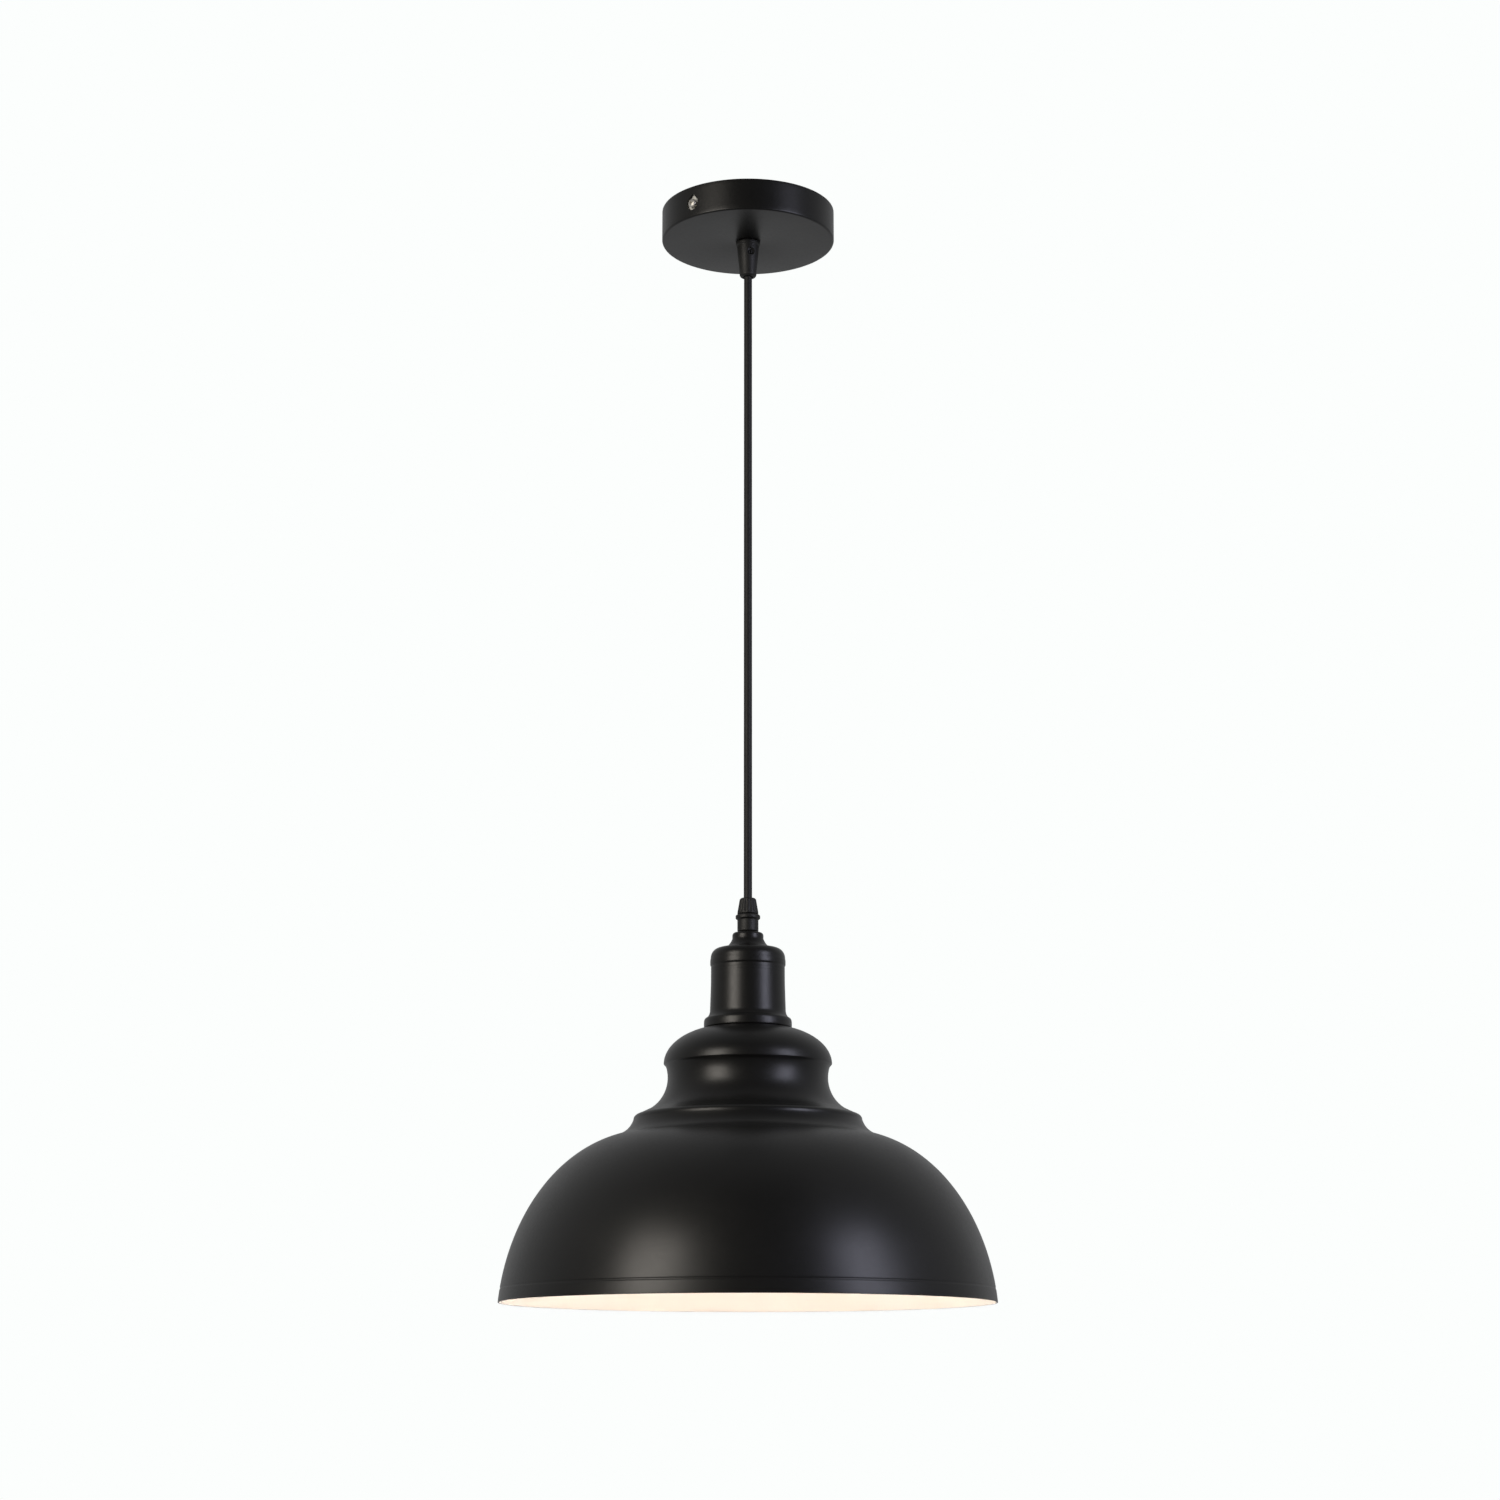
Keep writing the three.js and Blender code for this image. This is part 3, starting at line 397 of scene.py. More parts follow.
# Natural polyamide: milky off-white, and light soaks a little way in.
NATURAL_POLYAMIDE = Finish(
    "moulded_natural_polyamide", "e8e4d8", "d9d3c2", 0.45, ior=1.53, scatter=0.2, scatter_mm=2.0,
    grains=(
        Grain(Figure.PEBBLED, 0.3, height=0.012, gloss=0.1),
        Grain(Figure.CLOUDY, 5.0, tint=0.6),
    ),
)


def core_insulation(name: str, colour: str, second: str, stripe: bool = False) -> Finish:
    """Thin glossy PVC round one copper core.

    Args:
        name: The material's name.
        colour: Its sRGB hex colour.
        second: The sRGB hex colour of its variation or stripe.
        stripe: Whether the second colour runs along it in a clear stripe.

    Returns:
        The finish.
    """
    variation = (Grain(Figure.LINED, 1.6, stretch=(1.0, 1.0, 4.0), tint=1.0) if stripe
                 else Grain(Figure.CLOUDY, 2.0, tint=0.5))
    return Finish(name, colour, second, 0.34, ior=1.53,
                  grains=(variation, Grain(Figure.LINED, 0.3, height=0.01, gloss=0.1)))


LIVE_PVC = core_insulation("brown_pvc_core", "6b3a1e", "57301a")
NEUTRAL_PVC = core_insulation("blue_pvc_core", "2f6bb0", "255a97")
EARTH_PVC = core_insulation("green_and_yellow_pvc_core", "4f8a2a", "d6c12e", stripe=True)
# Moulded EPDM rubber: soft, very dull black with a dusty bloom.
EPDM_RUBBER = Finish(
    "moulded_epdm_rubber", "1e1e1d", "333230", 0.78,
    grains=(
        Grain(Figure.PEBBLED, 0.25, height=0.02),
        Grain(Figure.CLOUDY, 1.5, tint=0.7, gloss=0.1),
    ),
)
# Drawn aluminium lamp cap: pale, with faint lines round it from the thread rolling.
DRAWN_ALUMINIUM = Finish(
    "drawn_aluminium", "c6c8ca", "a7a9ab", 0.3, metallic=1.0,
    grains=(
        Grain(Figure.LINED, 0.15, height=0.004, stretch=(20.0, 20.0, 1.0), gloss=0.14),
        Grain(Figure.CLOUDY, 3.0, tint=0.5),
    ),
)
# Opal polycarbonate, lit from inside: an even warm white with a satin skin.
OPAL_POLYCARBONATE = Finish(
    "lit_opal_polycarbonate", "fbf1de", "f6e6c6", 0.3, ior=1.58, glow=18.8, glow_colour="fff0ed",
    grains=(
        Grain(Figure.PEBBLED, 0.5, height=0.01, gloss=0.08),
        Grain(Figure.CLOUDY, 25.0, tint=0.5),
    ),
)
# Black cap glass: fused and very shiny, with slight flow waves.
CAP_GLASS = Finish(
    "black_cap_glass", "141218", "241f2b", 0.08, ior=1.52,
    grains=(
        Grain(Figure.CLOUDY, 3.0, height=0.04, tint=0.5),
        Grain(Figure.CLOUDY, 0.7, gloss=0.06),
    ),
)
# Plain matt paint of the studio floor: no shine, a little mottled, evenly lit all over.
PALE_FLOOR = Finish(
    "pale_floor_paint", "e6e5e2", "dddbd6", 0.85, glow=0.62, glow_colour="f3f2ef",
    grains=(Grain(Figure.CLOUDY, 300.0, tint=0.6),),
)


# ------------------------------------------------------------------ shaping


def arc(centre: Point, half: Point, start: float, end: float, steps: int = 12) -> list[Corner]:
    """Points on an ellipse arc of a half section.

    Args:
        centre: Radius and height of its centre.
        half: Its half width and half height.
        start: First angle in degrees, anticlockwise from outward.
        end: Last angle in degrees.
        steps: How many straight lines stand for it.

    Returns:
        The points, none of them rounded.
    """
    turns = [math.radians(start + (end - start) * i / steps) for i in range(steps + 1)]
    return [(centre[0] + half[0] * math.cos(t), centre[1] + half[1] * math.sin(t), 0.0)
            for t in turns]


def sweep(start: Point, pull: Point, end: Point, steps: int = 12) -> list[Corner]:
    """Points on a free curve that leaves one point for a pull and arrives at another.

    Args:
        start: Radius and height of its start.
        pull: Where its first and last directions cross.
        end: Radius and height of its end.
        steps: How many straight lines stand for it.

    Returns:
        The points, none of them rounded.
    """
    points = []
    for i in range(steps + 1):
        t = i / steps
        spot = Vector(start) * (1 - t) ** 2 + Vector(pull) * (2 * t * (1 - t)) + Vector(end) * t * t
        points.append((spot.x, spot.y, 0.0))
    return points


def rounded(corners: Sequence[Corner], steps: int = 4) -> list[Point]:
    """Round the corners of a closed outline.

    Args:
        corners: Radius, height and the length that each corner's rounding takes.
        steps: How many straight lines stand for one rounding.

    Returns:
        The outline's points.
    """
    points: list[Point] = []
    for i, (radius, height, edge) in enumerate(corners):
        here = Vector((radius, height))
        if not edge:
            points.append((radius, height))
            continue
        before = Vector(corners[i - 1][:2]) - here
        after = Vector(corners[(i + 1) % len(corners)][:2]) - here
        first = here + before.normalized() * min(edge, before.length * CORNER_SHARE)
        last = here + after.normalized() * min(edge, after.length * CORNER_SHARE)
        for k in range(steps + 1):
            t = k / steps
            spot = first * (1 - t) ** 2 + here * (2 * t * (1 - t)) + last * t * t
            points.append((spot.x, spot.y))
    return points


def inset(points: Sequence[Corner], wall: float) -> list[Corner]:
    """Move an outline inward by a sheet's thickness.

    Args:
        points: The outside's points, from top to foot.
        wall: The sheet's thickness.

    Returns:
        The inside's points, from foot to top.
    """
    moved = []
    for i, (radius, height, edge) in enumerate(points):
        before, after = points[max(i - 1, 0)], points[min(i + 1, len(points) - 1)]
        along = Vector((after[0] - before[0], after[1] - before[1])).normalized()
        moved.append((radius + along.y * wall, height - along.x * wall, edge))
    return moved[::-1]


def add_object(name: str, data: bpy.types.ID) -> Piece:
    """Put a mesh, light or camera into the scene.

    Args:
        name: The object's name.
        data: What it shows.

    Returns:
        The object, linked to the scene.
    """
    made = bpy.data.objects.new(name, data)
    bpy.context.scene.collection.objects.link(made)
    return made


def to_object(name: str, mesh: bmesh.types.BMesh, sharp: float = SHARP) -> Piece:
    """Turn built geometry in millimetres to a smooth-shaded object in metres.

    Args:
        name: The piece's name.
        mesh: The geometry, which is freed.
        sharp: The angle in degrees above which an edge shows as an edge.

    Returns:
        The object, linked to the scene.
    """
    bmesh.ops.recalc_face_normals(mesh, faces=mesh.faces)
    bmesh.ops.scale(mesh, vec=(MM, MM, MM), verts=mesh.verts)
    data = bpy.data.meshes.new(name)
    mesh.to_mesh(data)
    mesh.free()
    data.shade_smooth()
    data.set_sharp_from_angle(angle=math.radians(sharp))
    return add_object(name, data)


def weld(data: bpy.types.Mesh) -> None:
    """Join a mesh's doubled points, so that its faces share their edges.

    Args:
        data: The mesh, in metres, which this changes.
    """
    mesh = bmesh.new()
    mesh.from_mesh(data)
    bmesh.ops.remove_doubles(mesh, verts=mesh.verts, dist=DOUBLED)
    bmesh.ops.dissolve_degenerate(mesh, edges=mesh.edges, dist=DOUBLED)
    mesh.to_mesh(data)
    mesh.free()


def turned(name: str, outline: Sequence[Point], segments: int = 128, ripple: Ripple | None = None,
           zones: Sequence[int] = ()) -> Piece:
    """Turn a closed half section about the Z axis.

    Args:
        name: The piece's name.
        outline: Radius and height of each point. The last joins the first.
        segments: How many steps go round.
        ripple: Gives a point's radius from its angle, radius and height.
        zones: The material number of each outline line, 0 where it is short.

    Returns:
        The turned piece.
    """
    mesh = bmesh.new()
    poles = [None if r > NOUGHT else mesh.verts.new((0, 0, z)) for r, z in outline]
    rings = []
    for j in range(segments):
        angle = 2 * math.pi * j / segments
        ring = []
        for pole, (r, z) in zip(poles, outline):
            reach = ripple(angle, r, z) if ripple else r
            spot = (reach * math.cos(angle), reach * math.sin(angle), z)
            ring.append(pole or mesh.verts.new(spot))
        rings.append(ring)
    for j, ring in enumerate(rings):
        beside = rings[(j + 1) % segments]
        for i in range(len(outline)):
            k = (i + 1) % len(outline)
            corners = dict.fromkeys((ring[i], beside[i], beside[k], ring[k]))
            if len(corners) > 2:
                face = mesh.faces.new(list(corners))
                face.material_index = zones[i] if i < len(zones) else 0
    return to_object(name, mesh)


def prism(name: str, outline: Sequence[Point], low: float, high: float, taper: float = 1.0,
          centre: Point = (0.0, 0.0)) -> Piece:
    """Extrude a flat outline along Z.

    Args:
        name: The piece's name.
        outline: X and Y of each corner.
        low: Height of the foot.
        high: Height of the top.
        taper: Size of the foot as a share of the top's.
        centre: Where the outline's own origin goes.

    Returns:
        The extruded piece.
    """
    mesh = bmesh.new()
    feet = [mesh.verts.new((x * taper + centre[0], y * taper + centre[1], low)) for x, y in outline]
    tops = [mesh.verts.new((x + centre[0], y + centre[1], high)) for x, y in outline]
    mesh.faces.new(feet[::-1])
    mesh.faces.new(tops)
    for i in range(len(outline)):
        k = (i + 1) % len(outline)
        mesh.faces.new((feet[i], feet[k], tops[k], tops[i]))
    return to_object(name, mesh)


def cross_outline(arm: float, width: float) -> list[Point]:
    """The outline of a cross recess.

    Args:
        arm: How far each arm reaches from the middle.
        width: Width of an arm.

    Returns:
        X and Y of its twelve corners.
    """
    w = width / 2
    quarter = [(arm, -w), (arm, w), (w, w)]
    turn = [(1, 0, 0, 1), (0, -1, 1, 0), (-1, 0, 0, -1), (0, 1, -1, 0)]
    return [(a * x + b * y, c * x + d * y) for a, b, c, d in turn for x, y in quarter]


def screw_thread(radius: float, pitch: float, depth: float, top: float = math.inf,
                 rolled: bool = False) -> Ripple:
    """A ripple that cuts a thread into a shank and leaves the rest of the piece round.

    Args:
        radius: The shank's radius.
        pitch: How far one turn rises.
        depth: Depth of the groove.
        top: Height above which the shank stays plain.
        rolled: Whether the thread is round and not V-shaped.

    Returns:
        The ripple.
    """

    def ripple(angle: float, r: float, z: float) -> float:
        """Sink a point of the shank into the groove.

        Args:
            angle: The point's angle round the shank, in radians.
            r: Its radius.
            z: Its height.

        Returns:
            Its new radius.
        """
        if abs(r - radius) > NOUGHT or z > top:
            return r
        turn = z / pitch + angle / (2 * math.pi)
        share = 0.5 - 0.5 * math.cos(2 * math.pi * turn) if rolled else abs(2 * (turn % 1) - 1)
        return r - depth * share

    return ripple


def shank(radius: float, start: float, step: float, count: int) -> list[Corner]:
    """The points of a straight wall that a thread is cut into, one step of height apart."""
    return [(radius, start + step * i, 0.0) for i in range(count)]


def carve(piece: Piece, *tools: Piece) -> Piece:
    """Cut tools out of a piece and remove them.

    Args:
        piece: The piece that is cut.
        tools: Closed objects that stand where material goes.

    Returns:
        The same piece.
    """
    for tool in tools:
        step = piece.modifiers.new("cut", "BOOLEAN")
        step.operation = "DIFFERENCE"
        step.solver = "EXACT"
        step.object = tool
    bpy.context.view_layer.update()
    depsgraph = bpy.context.evaluated_depsgraph_get()
    made = bpy.data.meshes.new_from_object(piece.evaluated_get(depsgraph))
    piece.modifiers.clear()
    piece.data = made
    weld(made)
    made.shade_smooth()
    made.set_sharp_from_angle(angle=math.radians(SHARP))
    for tool in tools:
        bpy.data.objects.remove(tool)
    return piece


def place(piece: Piece, move: Matrix) -> Piece:
    """Move a piece's own mesh, so that its origin stays on the lamp's axis."""
    piece.data.transform(move)
    return piece


def sideways(bearing: float, height: float, reach: float = 0.0) -> Matrix:
    """The placing that lays a Z-turned piece outward along a bearing.

    Args:
        bearing: Degrees anticlockwise from +X.
        height: Height of its axis, in mm.
        reach: How far from the lamp's axis its own zero goes, in mm.

    Returns:
        The placing, in metres.
    """
    return (Matrix.Rotation(math.radians(bearing), 4, "Z")
            @ Matrix.Translation((reach * MM, 0, height * MM))
            @ Matrix.Rotation(math.radians(90), 4, "Y"))


def heights(node: str) -> Point:
    """Lowest and highest point of a CAD node, in mm."""
    low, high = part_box(node)
    return low.z / MM, high.z / MM


@dataclass
class SubAssembly:
    """Pieces that are made together and ride on one CAD body."""

    body: str

    def dress(self, piece: Piece, node: str, slot: str, *finishes: Finish) -> None:
        """Give a new piece its finishes and its place on the frame.

        Args:
            piece: The new piece.
            node: The CAD node that it replaces.
            slot: The record's material slot; not used.
            finishes: Its materials, in order.
        """
        for finish in finishes:
            piece.data.materials.append(finish.material())
        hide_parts(node)
        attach(piece, self.body)
        log.info("%s: %s, %d faces", self.body, piece.name, len(piece.data.polygons))


# ------------------------------------------------------------------ the lamp


@dataclass
class CeilingCup(SubAssembly):
    """The round cup against the ceiling, with its two side screws."""

    body: str = "ceiling_fitting"
    radius: float = 54.0
    wall: float = 0.8
    edge: float = 1.2
    hole: float = 5.1
    bearing: float = -129.6
    eye_radius: float = 4.3
    eye_point: float = 6.4
    eye_drop: float = 11.3
    screw_head: float = 2.8
    screw_shank: float = 1.45
    screw_length: float = 9.0
    head_height: float = 2.1
    head_dome: float = 1.3
    recess: float = 1.1
    recess_reach: float = 1.7
    recess_width: float = 0.62
    recess_core: float = 0.9
    thread_pitch: float = 0.5
    thread_depth: float = 0.26
    thread_step: float = 0.125

    def build(self) -> None:
        """Make the cup and its screws."""
        self.make_cup()
        for name, turn in (("front", 0.0), ("back", 180.0)):
            self.make_screw(name, self.bearing + turn)

    def eye_tool(self, turn: float) -> Piece:
        """Make the drop-shaped opening, as a tool across the cup's wall.

        Args:
            turn: Degrees on from the front opening's bearing.

        Returns:
            The tool.
        """
        lean = math.degrees(math.acos(self.eye_radius / self.eye_point))
        ring = arc((0, 0), (self.eye_radius, self.eye_radius), 90 + lean, 450 - lean, 40)
        outline = [(x, y) for x, y, _ in ring] + [(0.0, self.eye_point)]
        tool = prism("eye_tool", outline, self.radius - 5, self.radius + 5)
        upright = Matrix.Rotation(math.radians(90), 4, "Z")
        return place(tool, sideways(self.bearing + turn, -self.eye_drop) @ upright)

    def make_cup(self) -> None:
        """Spin the cup, and punch a drop-shaped opening through each side."""
        floor, rim = heights("ceiling_cup")
        bend = (self.radius - self.edge, floor + self.edge)
        inner = self.edge - self.wall
        side = [(self.radius, bend[1] + (rim - bend[1]) * i / 8, 0.0) for i in range(1, 8)]
        back = [(self.radius - self.wall, z, 0.0) for _, z, _ in reversed(side)]
        outline = [
            (self.hole, floor, 0.3), *arc(bend, (self.edge, self.edge), -90, 0, 8), *side,
            (self.radius, rim, 0.25), (self.radius - self.wall, rim, 0.25), *back,
            *arc(bend, (inner, inner), 0, -90, 6), (self.hole, floor + self.wall, 0.0),
        ]
        cup = turned("ceiling_cup_shell", rounded(outline), 160)
        carve(cup, self.eye_tool(0), self.eye_tool(180))
        self.dress(cup, "ceiling_cup", "black_paint", SATIN_PAINT)

    def make_screw(self, name: str, bearing: float) -> None:
        """Make one pan-head screw with a cross recess and a cut thread.

        Args:
            name: Which of the two it is.
            bearing: The side that its head faces, in degrees.
        """
        seat = self.radius - self.wall
        crown = seat + self.head_height
        tip = seat - self.screw_length
        outline = [
            (0.0, tip, 0.0), (self.screw_shank - 0.4, tip, 0.2),
            *shank(self.screw_shank, tip + 0.6, self.thread_step, 60),
            (self.screw_shank, seat, 0.0), (self.screw_head, seat, 0.3),
            *arc((0.0, crown - self.head_dome), (self.screw_head, self.head_dome), 0, 90, 14)[:-1],
            (0.0, crown, 0.0),
        ]
        thread = screw_thread(self.screw_shank, self.thread_pitch, self.thread_depth)
        screw = turned(f"side_screw_{name}_m3", rounded(outline), 48, thread)
        floor, clear = crown - self.recess, crown + 0.2
        arms = cross_outline(self.recess_reach, self.recess_width)
        core = cross_outline(self.recess_width, self.recess_core)
        carve(screw, prism("bit", arms, floor, clear, 0.45),
              prism("bit_core", core, floor - 0.2, clear, 0.5))
        place(screw, sideways(bearing, -self.eye_drop))
        self.dress(screw, f"side_screw_{name}", "nickel", NICKEL_PLATE_PAINTED_REFLECTION)


@dataclass
class UpperGrip(SubAssembly):
    """The moulded cord grip under the cup, with its clamp screw."""

    body: str = "ceiling_fitting"
    bore: float = 2.75
    thread: float = 4.8
    flange: float = 7.6
    flange_height: float = 1.5
    chamfer: float = 0.9
    top: float = 6.9
    low: float = 5.3
    nose: float = 1.9
    mouth: float = 3.3
    screw_radius: float = 1.3
    screw_bearing: float = -72.4
    screw_drop: float = 7.6
    screw_head: float = 5.45
    slot_width: float = 0.5
    slot_floor: float = 4.8
    well: float = 2.35
    well_floor: float = 5.0

    def build(self) -> None:
        """Make the grip, with a well in its side, and the screw in the well."""
        foot, head = heights("upper_cord_grip")
        seat = heights("ceiling_cup")[0] - 0.3
        outline = [
            (self.bore, head, 0.2), (self.thread, head, 0.3), (self.thread, seat, 0.0),
            (self.flange, seat, 0.2), (self.flange, seat - self.flange_height, 0.35),
            (self.top, seat - self.flange_height - self.chamfer, 0.3),
            (self.low, foot + self.nose, 0.0),
            *arc((self.mouth, foot + self.nose), (self.low - self.mouth, self.nose), -2, -88, 12),
            (self.mouth, foot, 0.2), (self.bore, foot + 1.2, 0.4),
        ]
        grip = turned("cord_grip_upper", rounded(outline), 128)
        level = sideways(self.screw_bearing, seat - self.screw_drop)
        loose = self.screw_radius + 0.2
        well = turned("well", [(0, self.well_floor), (loose, self.well_floor),
                               (self.screw_radius + 0.3, 5.5), (self.well, 5.75),
                               (self.well + 0.1, 9.0), (0, 9.0)], 48)
        shaft = turned("shaft", [(0, 1.0), (loose, 1.0), (loose, 5.2), (0, 5.2)], 48)
        carve(grip, place(well, level), place(shaft, level))
        self.dress(grip, "upper_cord_grip", "black_plastic", MOULDED_NYLON)
        screw = turned("clamp_screw", rounded([
            (0, self.bore + 0.1, 0), (self.screw_radius - 0.3, self.bore + 0.1, 0.2),
            (self.screw_radius, self.bore + 0.6, 0), (self.screw_radius, self.screw_head, 0.25),
            (0, self.screw_head, 0),
        ]), 48)
        w = self.slot_width / 2
        carve(screw, prism("slot", [(-2, -w), (2, -w), (2, w), (-2, w)], self.slot_floor, 6.0))
        place(screw, level)
        self.dress(screw, "upper_grip_screw", "black_plastic", MOULDED_NYLON)


@dataclass
class Flex:
    """The round mains flex between the cord grip and the lamp head."""

    radius: float = 2.5
    sides: int = 40
    step: float = 2.5
    bend: float = 30.0

    def build(self) -> None:
        """Make the sheath along its straight hanging route."""
        low, high = heights("flex_cord")
        count = round((high - low) / self.step)
        route = [(0.0, 0.0, high + (low - high) * i / count) for i in range(count + 1)]
        outline = [(0.0, high, 0.0), *[(self.radius, z, 0.0) for _, _, z in route], (0.0, low, 0.0)]
        sheath = turned("flex_sheath", rounded(outline), self.sides)
        sheath.data.materials.append(PVC_SHEATH.material())
        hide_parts("flex_cord")
        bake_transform(sheath)
        log.info("cord: %s, %.0f mm long", sheath.name, high - low)


@dataclass
class Gland(SubAssembly):
    """The compression gland that holds the flex on top of the lamp head."""

    body: str = "pendant"
    bore: float = 2.75
    thread: float = 4.5
    tip: float = 4.1
    edge: float = 0.9
    top: float = 4.95
    foot: float = 6.3
    flutes: int = 14
    flute: float = 0.34
    flange: float = 7.35
    flange_height: float = 3.3
    bevel: float = 0.8
    tube: float = 4.8
    tube_pitch: float = 1.0
    tube_depth: float = 0.3
    thread_step: float = 0.125

    def build(self) -> None:
        """Make the nut and the body below it."""
        low, high = heights("gland_nut")
        self.make_nut(low, high)
        self.make_body(low - 0.3)

    def make_nut(self, low: float, high: float) -> None:
        """Mould the fluted nut.

        Args:
            low: Height of its foot.
            high: Height of its tip.
        """
        wall = [(self.top + (self.foot - self.top) * i / 16,
                 high - self.edge + (low + 1.1 - high + self.edge) * i / 16, 0.0)
                for i in range(17)]
        outline = [
            (self.bore + 0.4, high, 0.3), (self.tip, high, 0.5), *wall, (self.foot, low, 0.35),
            (self.thread, low, 0.2), (self.thread, high - 3.2, 0.0), (self.bore, high - 3.2, 0.0),
            (self.bore, high - 0.9, 0.3),
        ]
        nut = turned("compression_nut", rounded(outline), self.flutes * 16, self.groove(high, low))
        self.dress(nut, "gland_nut", "black_plastic", MOULDED_NYLON)

    def make_body(self, crown: float) -> None:
        """Mould the flanged body, with the fine thread of its tube.

        Args:
            crown: Height of its top face, under the nut.
        """
        bottom, throat = heights("gland_body")
        under = crown - self.flange_height
        foot = heights("neck_cap")[1] + 0.3
        count = int((foot - bottom) / self.thread_step)
        inner = self.thread - 0.4
        body = turned("gland_body_moulded", rounded([
            (self.bore, throat, 0.2), (inner, throat, 0.2), (inner, crown, 0.0),
            (self.foot, crown, 0.2), (self.flange, crown - self.bevel, 0.25),
            (self.flange, under + self.bevel, 0.25), (self.foot, under, 0.2),
            (self.foot, foot + 0.7, 0.25), (self.foot - 0.6, foot, 0.15),
            *shank(self.tube, foot, -self.thread_step, count),
            (self.tube - self.tube_depth, bottom, 0.2), (self.bore, bottom, 0.2),
        ]), 96, screw_thread(self.tube, self.tube_pitch, self.tube_depth, foot - 0.2))
        self.dress(body, "gland_body", "black_plastic", MOULDED_NYLON)

    def groove(self, high: float, low: float) -> Ripple:
        """The nut's grip flutes, which fade out at its tip and foot.

        Args:
            high: Height of the tip.
            low: Height of the foot.

        Returns:
            The ripple.
        """

        def ripple(angle: float, r: float, z: float) -> float:
            """Pull the wall in along each flute.

            Args:
                angle: The point's angle round the nut, in radians.
                r: Its radius.
                z: Its height.

            Returns:
                Its new radius.
            """
            if r < self.thread + 0.2:
                return r
            fade = min(1.0, max(0.0, (high - self.edge - z) / 1.2), max(0.0, (z - low - 0.5) / 0.9))
            wave = 0.5 + 0.5 * math.cos(angle * self.flutes)
            return r - self.flute * fade * wave**2

        return ripple


@dataclass
class NeckCap(SubAssembly):
    """The spun cap over the lampholder, from its small collar to its flared foot."""

    body: str = "pendant"
    wall: float = 0.9
    hole: float = 5.1
    collar: float = 9.3
    collar_edge: float = 1.9
    collar_height: float = 3.8
    collar_flare: float = 2.2
    flat: float = 16.5
    shoulder_drop: float = 9.6
    corner_width: float = 5.1
    corner_height: float = 6.0
    shoulder: float = 22.2
    bead: float = 22.45
    bead_from: float = 1.4
    bead_to: float = 4.2
    waist: float = 22.0
    waist_to: float = 15.0
    skirt: float = 22.5
    foot: float = 26.1
    cove: Point = (4.0, 5.2)
    cove_above_foot: float = 10.2
    lap: float = 0.35
    fine_lines: tuple[float, ...] = (7.4, 8.9)

    def build(self) -> None:
        """Spin the cap."""
        bottom, top = heights("neck_cap")
        corner = (self.shoulder - self.corner_width, top - self.shoulder_drop - self.corner_height)
        cove_top = bottom + self.cove_above_foot
        inner = self.waist - self.wall
        lines = [(self.waist - sunk, corner[1] - drop - step, 0.0) for drop in self.fine_lines
                 for step, sunk in ((-0.35, 0.0), (0.0, 0.07), (0.35, 0.0))]
        outline = [
            (self.hole, top, 0.2),
            *arc((self.collar - self.collar_edge, top - self.collar_edge),
                 (self.collar_edge, self.collar_edge), 90, 0, 10),
            *sweep((self.collar, top - self.collar_height),
                   (self.collar + self.collar_flare, top - self.shoulder_drop),
                   (self.flat, top - self.shoulder_drop), 14),
            *arc(corner, (self.corner_width, self.corner_height), 84, 0, 14),
            (self.bead, corner[1] - self.bead_from, 0.5),
            (self.bead, corner[1] - self.bead_to, 0.7),
            (self.waist - 0.12, corner[1] - self.bead_to - 0.7, 0.3),
            (self.waist, corner[1] - 5.6, 0.4),
            *lines, (self.waist, corner[1] - self.waist_to, 3.0),
            *arc((self.skirt + self.cove[0], cove_top), self.cove, 180, 236, 14),
            (self.foot, cove_top - self.cove[1] - 0.3, 2.3), (self.foot, bottom - self.lap, 1.2),
            (self.foot - self.wall, bottom - self.lap, 0.0),
            (self.foot - self.wall, cove_top - self.cove[1] - 1.8, 0.5),
            (self.skirt - self.wall, cove_top - 1.8, 1.0), (inner, corner[1] - self.waist_to, 1.0),
            *arc(corner, (inner - corner[0], self.corner_height - self.wall), 0, 90, 10),
            (self.hole, top - self.shoulder_drop - self.wall, 0.0),
        ]
        cap = turned("neck_cap_spun", rounded(outline, 5), 160)
        self.dress(cap, "neck_cap", "black_paint", SATIN_PAINT)


